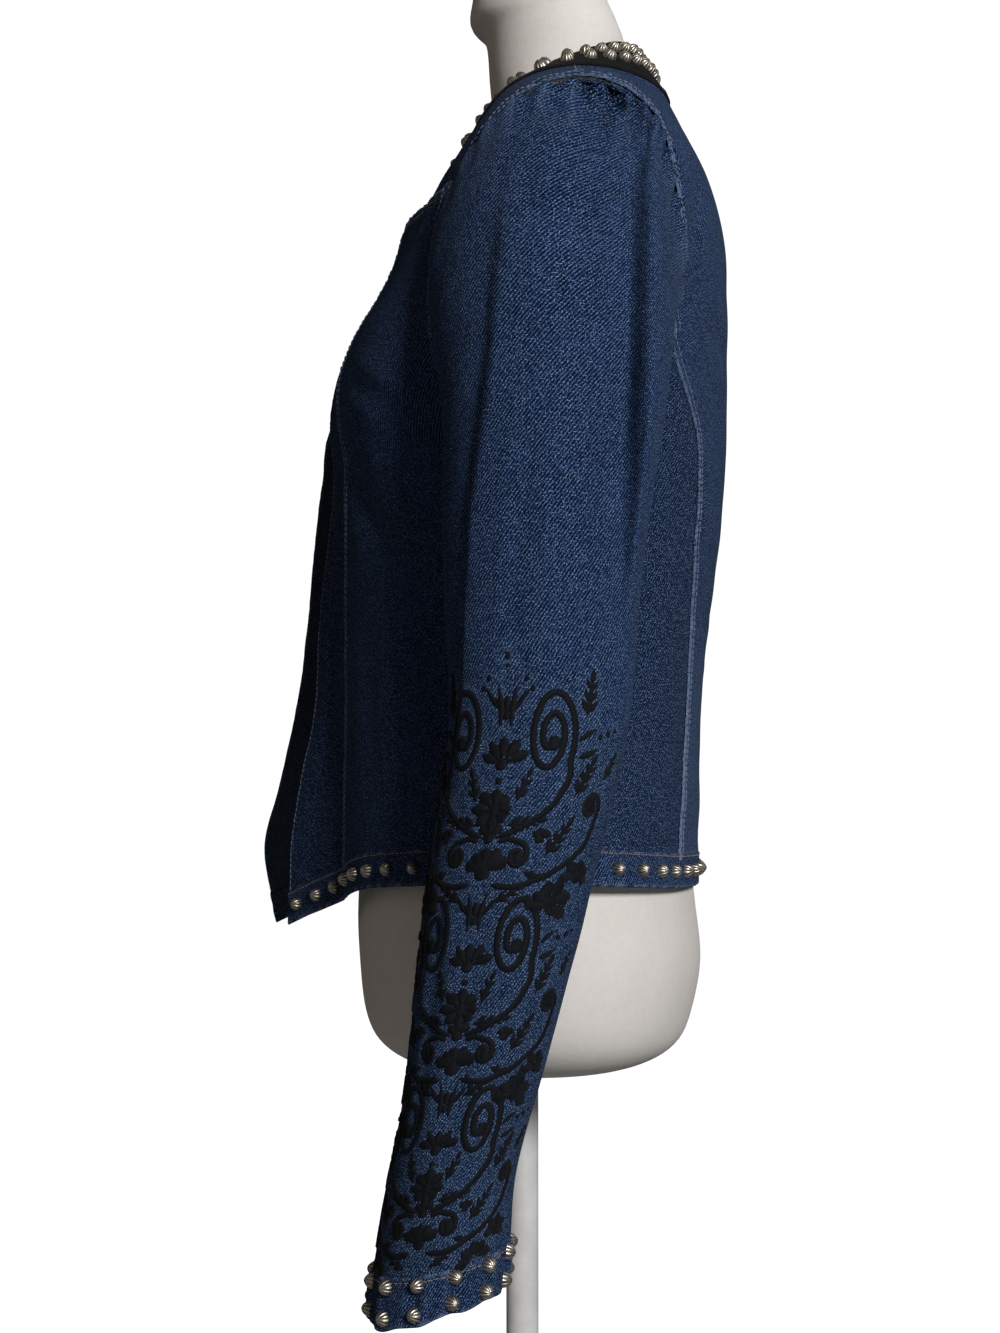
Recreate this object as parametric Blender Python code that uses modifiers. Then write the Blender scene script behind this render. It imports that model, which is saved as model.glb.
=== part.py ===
"""Cropped collarless denim jacket, worn open by a limbless dress form on a stand.

Frame: +Z is up, the front faces -Y, the wearer's left is +X, and the origin is the
centre of the underside of the stand's base. Sizes are in metres, angles in degrees.

Every panel of the body lies on one torso surface. A place on that surface is an
angle about the body (0 centre back, 90 side, 180 centre front) and a height. Seams
are curves on the surface, a panel fills the space between four of them, and its wall
is thickened towards the body. Bands are modelled flat, with their studs, and wrapped
on afterwards.
"""

import math
from bisect import bisect_right
from collections import namedtuple

import bmesh
import bpy
from mathutils import Vector

# Driving dimensions --------------------------------------------------------------

COLLECTION = "denim_jacket_on_dress_form"

DENIM = 0.0015            # thickness of one layer
DOUBLED_DENIM = 0.0026    # thickness of a turned hem
NECK_BAND_THICKNESS = 0.0024
SEAM_GAP = 0.0004         # clear space between two pieces at a seam
PANEL_BREADTH = 0.10      # nominal sizes of a panel, which turn the gap into a share
PANEL_HEIGHT = 0.30
STUD_RADIUS = 0.004
STUD_HEIGHT = 0.0042

HEM_HEIGHT = 0.0195       # turned hem of the body
HEM_PROUD = 0.0006        # how far the turned hem stands out from the panels
HEM_PITCH = 0.019
HEM_PARTS = 24            # steps in which a hem's length is measured
CUFF_HEIGHT = 0.0245      # turned hem of a sleeve
CUFF_PROUD = 0.0006
CUFF_STUDS = 12
CUFF_LEVELS = (0.0, 0.0155, 0.0310)   # rows of the flat band before it is wrapped
NECK_BAND_STUDS = 30
NECK_BAND_LENGTH = 0.39
NECK_BAND_LEVELS = (0.0, 0.0130, 0.0260, 0.0390, 0.0420)
NECK_BAND_BULGE = 0.002
NECK_BAND_RISE = 0.0015   # how far the band starts above the neck seam
NECK_AXIS_Y = 0.025
STUD_BORDER = 0.001       # width of the flat rim first cut round each stud

YOKE_SEAM_Z = 0.922
YOKE_LAP = 0.0026         # how far the lower front's top edge stands over the yoke
SIDE_SEAM_Y = 0.012
SHOULDER_SEAM_ANGLE = 90.0
BACK_NECK_SHARE = 0.52    # share of the back panel's half top edge along the neck
SIDE_FRONT_SPLIT = 0.58   # share of the side front's rear edge below the underarm
LAP_SHARE = 0.08          # top share of a lower front panel that stands over the yoke
FLARE_CURVE = 1.25
BACK_SEAM_TOP_Z = 0.8602  # where the back princess seam leaves the armhole

POLE_RADIUS = 0.0098
POLE_TOP_Z = 0.4325
BASE_RADIUS = 0.15
BASE_THICKNESS = 0.007
BASE_BEVEL = 0.002
SOCKET_RADIUS = 0.020
SOCKET_TAPER = 0.8
SOCKET_HEIGHT = 0.028
CROWN_RISE = 0.002        # last rise of the form's crown, inside its top ring

# Torso surface: half width at the side, depth axis, centre back and centre front.
Section = namedtuple("Section", "z half_width centre back front back_power front_power")
TORSO = [
    Section(0.500, 0.1730, 0.008, 0.1065, -0.1085, 2.2, 2.5),
    Section(0.540, 0.1730, 0.008, 0.1064, -0.1085, 2.2, 2.5),
    Section(0.580, 0.1710, 0.009, 0.1070, -0.1085, 2.2, 2.5),
    Section(0.630, 0.1675, 0.009, 0.1080, -0.1080, 2.2, 2.5),
    Section(0.690, 0.1655, 0.009, 0.1130, -0.1080, 2.2, 2.5),
    Section(0.740, 0.1680, 0.009, 0.1200, -0.1085, 2.2, 2.5),
    Section(0.790, 0.1735, 0.009, 0.1242, -0.1105, 2.2, 2.5),
    Section(0.820, 0.1770, 0.010, 0.1250, -0.1140, 2.2, 2.5),
    Section(0.850, 0.1810, 0.012, 0.1253, -0.1050, 2.25, 2.5),
    Section(0.885, 0.1860, 0.017, 0.1250, -0.0825, 2.3, 2.5),
    Section(0.920, 0.1900, 0.024, 0.1238, -0.0632, 2.2, 2.5),
    Section(0.950, 0.1890, 0.032, 0.1170, -0.0457, 2.0, 2.5),
    Section(0.976, 0.1710, 0.038, 0.1082, -0.0314, 1.7, 2.4),
    Section(0.995, 0.1320, 0.037, 0.1012, -0.0240, 1.65, 2.3),
    Section(1.012, 0.0940, 0.036, 0.0935, -0.0172, 1.75, 2.2),
    Section(1.030, 0.0700, 0.034, 0.0860, -0.0110, 1.9, 2.1),
]

# Seams of the body: distance from the centre line at each height.
SeamPoint = namedtuple("SeamPoint", "z x")
BACK_PRINCESS = [
    SeamPoint(0.500, 0.1090),
    SeamPoint(0.550, 0.1070),
    SeamPoint(0.582, 0.1030),
    SeamPoint(0.630, 0.0950),
    SeamPoint(0.680, 0.0955),
    SeamPoint(0.730, 0.1045),
    SeamPoint(0.768, 0.1090),
    SeamPoint(0.791, 0.1150),
    SeamPoint(0.810, 0.1270),
    SeamPoint(0.830, 0.1410),
    SeamPoint(0.852, 0.1493),
]
FRONT_PRINCESS = [
    SeamPoint(0.500, 0.0885),
    SeamPoint(0.600, 0.0868),
    SeamPoint(0.700, 0.0832),
    SeamPoint(0.800, 0.0920),
    SeamPoint(0.860, 0.0900),
    SeamPoint(0.940, 0.0860),
]
FRONT_EDGE = [
    SeamPoint(0.500, 0.0500),
    SeamPoint(0.620, 0.0450),
    SeamPoint(0.740, 0.0360),
    SeamPoint(0.850, 0.0260),
    SeamPoint(0.940, 0.0180),
]

# How far each open front edge swings forward of the torso surface.
Flare = namedtuple("Flare", "z left right")
FRONT_FLARE = [
    Flare(0.500, 0.0300, 0.0480),
    Flare(0.535, 0.0300, 0.0560),
    Flare(0.565, 0.0290, 0.0600),
    Flare(0.600, 0.0240, 0.0510),
    Flare(0.640, 0.0170, 0.0420),
    Flare(0.690, 0.0140, 0.0330),
    Flare(0.740, 0.0080, 0.0270),
    Flare(0.780, 0.0030, 0.0205),
    Flare(0.830, 0.0010, 0.0080),
    Flare(0.870, 0.0000, 0.0010),
    Flare(0.940, 0.0000, 0.0000),
]

FRONT_SAG = {1: 0.0, -1: 0.0075}   # how much lower the foot of each edge hangs
SAG_TOP_Z = 0.78
SAG_HEIGHT = 0.26

# Lower edge of the body, and the seam between the body and the neck band.
EdgePoint = namedtuple("EdgePoint", "angle z")
HEM_LINE = [
    EdgePoint(0.0, 0.5385),
    EdgePoint(50.0, 0.5415),
    EdgePoint(90.0, 0.5485),
    EdgePoint(120.0, 0.5445),
    EdgePoint(137.0, 0.5365),
    EdgePoint(150.0, 0.5240),
    EdgePoint(160.0, 0.5130),
    EdgePoint(180.0, 0.5060),
]
NECK_SEAM = [
    EdgePoint(0.0, 1.0180),
    EdgePoint(45.0, 1.0170),
    EdgePoint(90.0, 1.0116),
    EdgePoint(110.0, 1.0050),
    EdgePoint(127.0, 0.9830),
    EdgePoint(138.0, 0.9640),
    EdgePoint(151.0, 0.9490),
    EdgePoint(168.0, 0.9390),
]

# Free upper edge of the neck band, at the same angles as the neck seam.
RimPoint = namedtuple("RimPoint", "angle x y z")
NECK_RIM = [
    RimPoint(0.0, 0.0000, 0.0705, 1.0510),
    RimPoint(45.0, 0.0440, 0.0595, 1.0445),
    RimPoint(90.0, 0.0615, 0.0330, 1.0315),
    RimPoint(110.0, 0.0600, 0.0135, 1.0235),
    RimPoint(130.0, 0.0535, -0.0080, 1.0095),
    RimPoint(150.0, 0.0410, -0.0255, 0.9950),
    RimPoint(168.0, 0.0130, -0.0365, 0.9775),
]

# Armhole: its depth y at each turn (0 shoulder, 90 back, 180 underarm, 270 front).
ArmholePoint = namedtuple("ArmholePoint", "turn y")
ARMHOLE_Z = 0.883
ARMHOLE_HALF_HEIGHT = 0.093
ARMHOLE = [
    ArmholePoint(0.0, 0.0380),
    ArmholePoint(15.0, 0.0595),
    ArmholePoint(30.0, 0.0730),
    ArmholePoint(45.0, 0.0797),
    ArmholePoint(60.0, 0.0839),
    ArmholePoint(75.0, 0.0875),
    ArmholePoint(90.0, 0.0895),
    ArmholePoint(120.0, 0.0770),
    ArmholePoint(150.0, 0.0480),
    ArmholePoint(180.0, 0.0120),
    ArmholePoint(210.0, -0.0210),
    ArmholePoint(240.0, -0.0365),
    ArmholePoint(270.0, -0.0385),
    ArmholePoint(285.0, -0.0345),
    ArmholePoint(300.0, -0.0252),
    ArmholePoint(315.0, -0.0137),
    ArmholePoint(330.0, -0.0005),
    ArmholePoint(345.0, 0.0165),
    ArmholePoint(360.0, 0.0380),
]

# Sleeve: rings from the biceps down to the top of the turned hem, then its edge.
Ring = namedtuple("Ring", "z x y half_depth half_thickness tilt")
SLEEVE = [
    Ring(0.3425, 0.2030, -0.0383, 0.0340, 0.0390, 0.260),
    Ring(0.3650, 0.2040, -0.0358, 0.0342, 0.0385, 0.230),
    Ring(0.4050, 0.2060, -0.0306, 0.0328, 0.0370, 0.150),
    Ring(0.4480, 0.2090, -0.0205, 0.0340, 0.0365, 0.080),
    Ring(0.4940, 0.2125, -0.0118, 0.0377, 0.0370, 0.050),
    Ring(0.5480, 0.2150, -0.0022, 0.0418, 0.0375, 0.030),
    Ring(0.6030, 0.2155, 0.0089, 0.0446, 0.0380, 0.015),
    Ring(0.6420, 0.2150, 0.0138, 0.0462, 0.0385, 0.000),
    Ring(0.6900, 0.2150, 0.0146, 0.0494, 0.0390, 0.000),
    Ring(0.7350, 0.2165, 0.0163, 0.0527, 0.0395, 0.000),
    Ring(0.7720, 0.2185, 0.0196, 0.0553, 0.0400, 0.000),
]
SLEEVE_RISE = 0.0014       # clear height of the sleeve's edge over the armhole's
SLEEVE_HEAD_DROP = 44.0    # how steeply the sleeve leaves the armhole
SLEEVE_HEAD_FULLNESS = 0.30
SLEEVE_HEAD_ARRIVAL = 1.3  # how much longer it runs straight into the arm
SLEEVE_HEAD_BULGE = 0.35   # share of that spread which goes to the front and back
UNDER_SLEEVE_HALF_ANGLE = 55.0
HEAD_SHARE = 0.40         # share of the sleeve grid's rows above the biceps

FOLD_RUN_OUT = 0.3        # share of a fold's length in which each end fades

# Folds on the torso: a soft trough from one place to another on one or both sides.
Fold = namedtuple("Fold", "side angle_top z_top angle_end z_end depth width")
BODY_FOLDS = [
    Fold(1, 139.0, 0.800, 118.0, 0.715, 0.0055, 0.012),
    Fold(-1, 138.0, 0.805, 120.0, 0.725, 0.0050, 0.012),
    Fold(1, 150.0, 0.740, 151.0, 0.560, 0.0020, 0.008),
    Fold(-1, 149.0, 0.730, 152.0, 0.570, 0.0024, 0.009),
    Fold(1, 72.0, 0.745, 66.0, 0.585, 0.0030, 0.014),
    Fold(-1, 70.0, 0.750, 64.0, 0.590, 0.0030, 0.014),
]
# Folds on a sleeve: an angle about the arm (0 outside, 90 back, -90 front) and a share
# of the sleeve's length (0 armhole, 1 hem) for each end.
SleeveFold = namedtuple("SleeveFold", "side angle_top top angle_end end depth width")
SLEEVE_FOLDS = [
    SleeveFold(1, 62.0, 0.06, 52.0, 0.62, 0.0080, 13.0),
    SleeveFold(1, -30.0, 0.18, -62.0, 0.66, 0.0060, 14.0),
    SleeveFold(1, 16.0, 0.04, 10.0, 0.26, 0.0028, 9.0),
    SleeveFold(1, -14.0, 0.70, -8.0, 0.97, 0.0018, 12.0),
    SleeveFold(-1, 62.0, 0.06, 52.0, 0.62, 0.0080, 13.0),
    SleeveFold(-1, -30.0, 0.18, -62.0, 0.66, 0.0060, 14.0),
    SleeveFold(-1, 16.0, 0.04, 10.0, 0.26, 0.0028, 9.0),
    SleeveFold(-1, -14.0, 0.70, -8.0, 0.97, 0.0018, 12.0),
]

# Dress form: rings from its flat bottom to the crown of its plain head.
FormRing = namedtuple("FormRing", "z half_width centre back front power")
FORM = [
    FormRing(0.4340, 0.0800, 0.005, 0.0600, -0.0480, 2.2),
    FormRing(0.4380, 0.1120, 0.005, 0.0800, -0.0700, 2.2),
    FormRing(0.4480, 0.1360, 0.005, 0.0950, -0.0860, 2.2),
    FormRing(0.4650, 0.1500, 0.005, 0.1025, -0.0940, 2.2),
    FormRing(0.4950, 0.1580, 0.005, 0.1078, -0.0975, 2.2),
    FormRing(0.5300, 0.1600, 0.005, 0.1045, -0.0985, 2.2),
    FormRing(0.5800, 0.1560, 0.005, 0.0990, -0.0940, 2.2),
    FormRing(0.6400, 0.1330, 0.005, 0.0920, -0.0800, 2.2),
    FormRing(0.7000, 0.1180, 0.005, 0.0900, -0.0720, 2.2),
    FormRing(0.7600, 0.1300, 0.006, 0.1020, -0.0830, 2.2),
    FormRing(0.8150, 0.1480, 0.008, 0.1130, -0.1030, 2.3),
    FormRing(0.8600, 0.1540, 0.012, 0.1170, -0.0920, 2.3),
    FormRing(0.9050, 0.1590, 0.020, 0.1165, -0.0655, 2.2),
    FormRing(0.9450, 0.1600, 0.030, 0.1120, -0.0425, 2.0),
    FormRing(0.9650, 0.1520, 0.036, 0.1065, -0.0315, 1.8),
    FormRing(0.9800, 0.1300, 0.037, 0.1000, -0.0245, 1.7),
    FormRing(0.9970, 0.0880, 0.035, 0.0900, -0.0190, 1.8),
    FormRing(1.0150, 0.0590, 0.030, 0.0800, -0.0185, 1.9),
    FormRing(1.0350, 0.0480, 0.026, 0.0700, -0.0200, 2.0),
    FormRing(1.0600, 0.0460, 0.021, 0.0635, -0.0225, 2.0),
    FormRing(1.0720, 0.0470, 0.016, 0.0590, -0.0320, 2.0),
    FormRing(1.0900, 0.0500, 0.014, 0.0530, -0.0305, 2.0),
    FormRing(1.1150, 0.0590, 0.018, 0.0640, -0.0350, 2.0),
    FormRing(1.1500, 0.0680, 0.025, 0.0900, -0.0410, 2.0),
    FormRing(1.1850, 0.0700, 0.031, 0.1050, -0.0400, 2.0),
    FormRing(1.2200, 0.0660, 0.034, 0.1040, -0.0330, 2.0),
    FormRing(1.2500, 0.0530, 0.036, 0.0890, -0.0160, 2.0),
    FormRing(1.2700, 0.0330, 0.036, 0.0680, 0.0050, 2.0),
    FormRing(1.2780, 0.0140, 0.036, 0.0500, 0.0230, 2.0),
]

# Grid sizes.
BACK_SEAM_ROWS = 10       # rows along the back princess seam, on both its panels
BACK_GRID = (12, 15)
SIDE_BACK_GRID = (4, BACK_SEAM_ROWS)
SIDE_FRONT_GRID = (5, 14)
FRONT_GRID = (5, 14)
YOKE_GRID = (6, 6)
UPPER_SLEEVE_GRID = (12, 18)
UNDER_SLEEVE_GRID = (5, 18)
FORM_GRID = (20, 32)

STEP = 1.0e-4             # spacing of the differences that give a normal
TURN_STEP = 0.5           # the same, for an angle about a sleeve or the neck
TINY = 1.0e-6
SHARP_ANGLE = 40.0


# Reading the tables --------------------------------------------------------------

def slope(rows, index, column):
    """Slope of one column at a row, from its neighbours."""
    low = rows[max(index - 1, 0)]
    high = rows[min(index + 1, len(rows) - 1)]
    return (high[column] - low[column]) / (high[0] - low[0])


def read(rows, position):
    """Values of a table at a position in its first column, on a smooth curve."""
    keys = [row[0] for row in rows]
    position = min(max(position, keys[0]), keys[-1])
    upper = min(bisect_right(keys, position), len(rows) - 1)
    lower = upper - 1
    span = keys[upper] - keys[lower]
    t = (position - keys[lower]) / span
    values = [position]
    for column in range(1, len(rows[0])):
        start = rows[lower][column]
        end = rows[upper][column]
        leave = slope(rows, lower, column) * span
        arrive = slope(rows, upper, column) * span
        rise = end - start
        values.append(
            start + leave * t
            + (3.0 * rise - 2.0 * leave - arrive) * t ** 2
            + (leave + arrive - 2.0 * rise) * t ** 3
        )
    return type(rows[0])(*values)


def read_by_row(rows, position):
    """Values of a table at a position counted in rows, on a smooth curve."""
    numbered = [(float(number), *row) for number, row in enumerate(rows)]
    keys = [row[0] for row in numbered]
    upper = min(bisect_right(keys, position), len(rows) - 1)
    lower = upper - 1
    t = position - lower
    values = []
    for column in range(1, len(numbered[0])):
        start = numbered[lower][column]
        end = numbered[upper][column]
        leave = slope(numbered, lower, column)
        arrive = slope(numbered, upper, column)
        rise = end - start
        values.append(
            start + leave * t
            + (3.0 * rise - 2.0 * leave - arrive) * t ** 2
            + (leave + arrive - 2.0 * rise) * t ** 3
        )
    return type(rows[0])(*values)


def ease(t):
    """0 to 1 with level ends."""
    t = min(max(t, 0.0), 1.0)
    return t * t * (3.0 - 2.0 * t)


def mix(start, end, t):
    """Value or point a share t of the way from start to end."""
    return start + (end - start) * t


def bezier(start, leave, arrive, end, t):
    """Point of a cubic curve from its ends and its two handles."""
    early = mix(mix(start, leave, t), mix(leave, arrive, t), t)
    late = mix(mix(leave, arrive, t), mix(arrive, end, t), t)
    return mix(early, late, t)


# Torso surface -------------------------------------------------------------------

def polar(angle, half_width, depth, power):
    """Distance from the axis to a rounded outline, in the direction of the angle."""
    across = abs(math.sin(math.radians(angle))) / half_width
    along = abs(math.cos(math.radians(angle))) / depth
    return (across ** power + along ** power) ** (-1.0 / power)


def outline_depth(x, half_width, depth, power):
    """Depth of a rounded outline at a distance x from the centre line."""
    share = min(abs(x) / half_width, 1.0)
    return depth * (1.0 - share ** power) ** (1.0 / power)


def angle_at_x(x, z, front):
    """Angle of the point of the torso surface at a distance from the centre line."""
    row = read(TORSO, z)
    if front:
        depth = outline_depth(x, row.half_width, row.centre - row.front, row.front_power)
        return math.degrees(math.atan2(x, -depth))
    depth = outline_depth(x, row.half_width, row.back - row.centre, row.back_power)
    return math.degrees(math.atan2(x, depth))


def angle_at_y(y, z):
    """Angle of the point of the torso's side at a depth y."""
    row = read(TORSO, z)
    offset = y - row.centre
    if offset > 0.0:
        depth = row.back - row.centre
        power = row.back_power
    else:
        depth = row.centre - row.front
        power = row.front_power
    x = outline_depth(offset, depth, row.half_width, power)
    return math.degrees(math.atan2(x, offset))


def front_swing(x, z, side):
    """How far the open front stands forward and sags at a distance x from the centre."""
    seam = read(FRONT_PRINCESS, z).x
    edge = read(FRONT_EDGE, z).x
    flare = read(FRONT_FLARE, z)
    reach = flare.left if side > 0 else flare.right
    share = min(max((seam - x) / (seam - edge), 0.0), 1.0) ** FLARE_CURVE
    return reach * share, FRONT_SAG[side] * share * ease((SAG_TOP_Z - z) / SAG_HEIGHT)


def body_fold(angle, z, radius, side):
    """Depth of the body's folds at a place on the torso."""
    total = 0.0
    for fold in BODY_FOLDS:
        if fold.side != side:
            continue
        along = Vector((math.radians(fold.angle_end - fold.angle_top) * radius,
                        fold.z_end - fold.z_top))
        place = Vector((math.radians(angle - fold.angle_top) * radius, z - fold.z_top))
        share = place.dot(along) / along.length_squared
        away = (place - along * share).length
        ends = ease(share / FOLD_RUN_OUT) * ease((1.0 - share) / FOLD_RUN_OUT)
        total += fold.depth * ends * math.exp(-(away / fold.width) ** 2)
    return total


def torso_point(angle, z, side):
    """Point of the torso surface, before it is thickened."""
    row = read(TORSO, z)
    if abs(angle) > 90.0:
        depth = row.centre - row.front
        power = row.front_power
    else:
        depth = row.back - row.centre
        power = row.back_power
    radius = polar(angle, row.half_width, depth, power)
    radius -= body_fold(abs(angle), z, radius, side if angle >= 0.0 else -side)
    x = radius * math.sin(math.radians(angle))
    point = Vector((side * x, row.centre + radius * math.cos(math.radians(angle)), z))
    if abs(angle) > 90.0:
        forward, down = front_swing(abs(x), z, side)
        point -= Vector((0.0, forward, down))
    return point


def torso_place(angle, z, side):
    """Point of the torso surface and its outward normal."""
    point = torso_point(angle, z, side)
    degree = math.degrees(STEP) * 10.0
    around = torso_point(angle + degree, z, side) - torso_point(angle - degree, z, side)
    upward = torso_point(angle, z + STEP, side) - torso_point(angle, z - STEP, side)
    normal = upward.cross(around) * side
    return point, normal.normalized()


# Seams, as (angle, height) pairs --------------------------------------------------

def armhole(turn):
    """Armhole at a turn in degrees: 0 shoulder, 90 back, 180 underarm, 270 front."""
    z = ARMHOLE_Z + ARMHOLE_HALF_HEIGHT * math.cos(math.radians(turn))
    return Vector((angle_at_y(read(ARMHOLE, turn).y, z), z))


def armhole_turn(z, back):
    """Turn at which the armhole passes a height, on its back or its front."""
    turn = math.degrees(math.acos((z - ARMHOLE_Z) / ARMHOLE_HALF_HEIGHT))
    return turn if back else 360.0 - turn


def neck_seam(angle):
    """Seam of the body and the neck band."""
    return Vector((angle, read(NECK_SEAM, angle).z))


def panel_foot(angle):
    """Height where a panel meets its turned hem."""
    return read(HEM_LINE, abs(angle)).z + HEM_HEIGHT


def seam_foot(angle_of):
    """Height where a seam given as an angle at a height meets the hem."""
    z = HEM_LINE[0].z + HEM_HEIGHT
    for _ in range(4):
        z = panel_foot(angle_of(z))
    return z


def back_princess(z):
    """Angle of the back princess seam at a height."""
    return angle_at_x(read(BACK_PRINCESS, z).x, z, front=False)


def front_princess(z):
    """Angle of the front princess seam at a height."""
    return angle_at_x(read(FRONT_PRINCESS, z).x, z, front=True)


def front_edge(z):
    """Angle of the open front edge at a height."""
    return angle_at_x(read(FRONT_EDGE, z).x, z, front=True)


def side_seam(z):
    """Angle of the side seam at a height."""
    return angle_at_y(SIDE_SEAM_Y, z)


def follow(angle_of, low, high, share):
    """Place on a seam given by its angle at a height."""
    z = mix(low, high, share)
    return Vector((angle_of(z), z))


def two_part(first, second, split):
    """One curve made of two that meet at the share called split."""
    def curve(share):
        if share < split:
            return first(share / split)
        return second((share - split) / (1.0 - split))
    return curve


def patch(bottom, top, left, right):
    """Surface grid filled between four curves that meet at their ends."""
    def place(u, v):
        straight = mix(bottom(u), top(u), v) + mix(left(v), right(v), u)
        corners = mix(mix(left(0.0), right(0.0), u), mix(left(1.0), right(1.0), u), v)
        return straight - corners
    return place


def inset(share, breadth):
    """Share moved in from 0 and 1, so that a panel ends just short of its seams."""
    margin = SEAM_GAP / breadth
    return mix(margin, 1.0 - margin, share)


# Panels of the body ----------------------------------------------------------------

BACK_ARMHOLE_TURN = armhole_turn(BACK_SEAM_TOP_Z, back=True)
YOKE_ARMHOLE_TURN = armhole_turn(YOKE_SEAM_Z, back=False)


def back_patch():
    """Back panel, from armhole to armhole, as one patch."""
    split = BACK_SEAM_ROWS / BACK_GRID[1]
    foot = seam_foot(back_princess)

    def right(v):
        if v < split:
            return follow(back_princess, foot, BACK_SEAM_TOP_Z, v / split)
        return armhole(mix(BACK_ARMHOLE_TURN, 0.0, (v - split) / (1.0 - split)))

    def left(v):
        place = right(v)
        return Vector((-place.x, place.y))

    def bottom(u):
        angle = mix(-1.0, 1.0, u) * back_princess(foot)
        return Vector((angle, panel_foot(angle)))

    def top(u):
        across = abs(mix(-1.0, 1.0, u))
        if across < BACK_NECK_SHARE:
            place = neck_seam(SHOULDER_SEAM_ANGLE * across / BACK_NECK_SHARE)
        else:
            down = (across - BACK_NECK_SHARE) / (1.0 - BACK_NECK_SHARE)
            z = mix(neck_seam(SHOULDER_SEAM_ANGLE).y, armhole(0.0).y, down)
            place = Vector((SHOULDER_SEAM_ANGLE, z))
        return Vector((math.copysign(place.x, u - 0.5), place.y))

    return patch(bottom, top, left, right)


def side_back_patch():
    """Side back panel, between the back princess seam and the side seam."""
    left_foot = seam_foot(back_princess)
    right_foot = seam_foot(side_seam)
    underarm = armhole(180.0).y

    def bottom(u):
        angle = mix(back_princess(left_foot), side_seam(right_foot), u)
        return Vector((angle, panel_foot(angle)))

    return patch(
        bottom,
        lambda u: armhole(mix(BACK_ARMHOLE_TURN, 180.0, u)),
        lambda v: follow(back_princess, left_foot, BACK_SEAM_TOP_Z, v),
        lambda v: follow(side_seam, right_foot, underarm, v),
    )


def side_front_patch():
    """Side front panel, from the side seam to the front princess seam."""
    left_foot = seam_foot(side_seam)
    right_foot = seam_foot(front_princess)
    underarm = armhole(180.0).y
    yoke_end = armhole(YOKE_ARMHOLE_TURN)

    def bottom(u):
        angle = mix(side_seam(left_foot), front_princess(right_foot), u)
        return Vector((angle, panel_foot(angle)))

    def top(u):
        angle = mix(yoke_end.x, front_princess(YOKE_SEAM_Z), u)
        return Vector((angle, YOKE_SEAM_Z))

    return patch(
        bottom,
        top,
        two_part(
            lambda v: follow(side_seam, left_foot, underarm, v),
            lambda v: armhole(mix(180.0, YOKE_ARMHOLE_TURN, v)),
            SIDE_FRONT_SPLIT,
        ),
        lambda v: follow(front_princess, right_foot, YOKE_SEAM_Z, v),
    )


def front_patch():
    """Front panel, from the front princess seam to the open edge."""
    left_foot = seam_foot(front_princess)
    right_foot = seam_foot(front_edge)

    def bottom(u):
        angle = mix(front_princess(left_foot), front_edge(right_foot), u)
        return Vector((angle, panel_foot(angle)))

    def top(u):
        angle = mix(front_princess(YOKE_SEAM_Z), front_edge(YOKE_SEAM_Z), u)
        return Vector((angle, YOKE_SEAM_Z))

    return patch(
        bottom,
        top,
        lambda v: follow(front_princess, left_foot, YOKE_SEAM_Z, v),
        lambda v: follow(front_edge, right_foot, YOKE_SEAM_Z, v),
    )


def yoke_patch():
    """Upper front, between the yoke seam, the neck, the shoulder and the armhole."""
    armhole_end = armhole(YOKE_ARMHOLE_TURN)
    edge_end = Vector((front_edge(YOKE_SEAM_Z), YOKE_SEAM_Z))
    neck_end = neck_seam(NECK_SEAM[-1].angle)

    def bottom(u):
        return mix(armhole_end, edge_end, u)

    def top(u):
        z = mix(armhole(0.0).y, neck_seam(SHOULDER_SEAM_ANGLE).y, u)
        return Vector((SHOULDER_SEAM_ANGLE, z))

    return patch(
        bottom,
        top,
        lambda v: armhole(mix(YOKE_ARMHOLE_TURN, 360.0, v)),
        two_part(
            lambda v: mix(edge_end, neck_end, v),
            lambda v: neck_seam(mix(NECK_SEAM[-1].angle, SHOULDER_SEAM_ANGLE, v)),
            1.0 / YOKE_GRID[1],
        ),
    )


# Building meshes ---------------------------------------------------------------------

def material(name, colour, roughness, metallic):
    """Principled material."""
    made = bpy.data.materials.new(name)
    made.use_nodes = True
    shader = made.node_tree.nodes["Principled BSDF"]
    shader.inputs["Base Color"].default_value = (*colour, 1.0)
    shader.inputs["Roughness"].default_value = roughness
    shader.inputs["Metallic"].default_value = metallic
    return made


def add_object(name, bm, finish, collection):
    """Object with its own copy of a finish, from a closed bmesh."""
    bmesh.ops.recalc_face_normals(bm, faces=bm.faces)
    if bm.calc_volume(signed=True) < 0.0:
        bmesh.ops.reverse_faces(bm, faces=bm.faces)
    mesh = bpy.data.meshes.new(name)
    bm.to_mesh(mesh)
    bm.free()
    mesh.shade_smooth()
    mesh.set_sharp_from_angle(angle=math.radians(SHARP_ANGLE))
    mesh.materials.append(finish.copy())
    mesh.materials[0].name = name
    made = bpy.data.objects.new(name, mesh)
    collection.objects.link(made)
    return made


def wall(name, grid, place, thickness, finish, collection):
    """Wall whose outer face is place(u, v), a point and its outward normal."""
    bm = bmesh.new()
    bmesh.ops.create_grid(bm, x_segments=grid[0], y_segments=grid[1], size=0.5)
    outer = list(bm.verts)
    extruded = bmesh.ops.extrude_face_region(bm, geom=list(bm.faces))["geom"]
    inner = [item for item in extruded if isinstance(item, bmesh.types.BMVert)]
    for verts, depth in ((outer, 0.0), (inner, thickness)):
        for vert in verts:
            point, normal = place(vert.co.x + 0.5, vert.co.y + 0.5)
            vert.co = point - normal * depth
    return add_object(name, bm, finish, collection)


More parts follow.
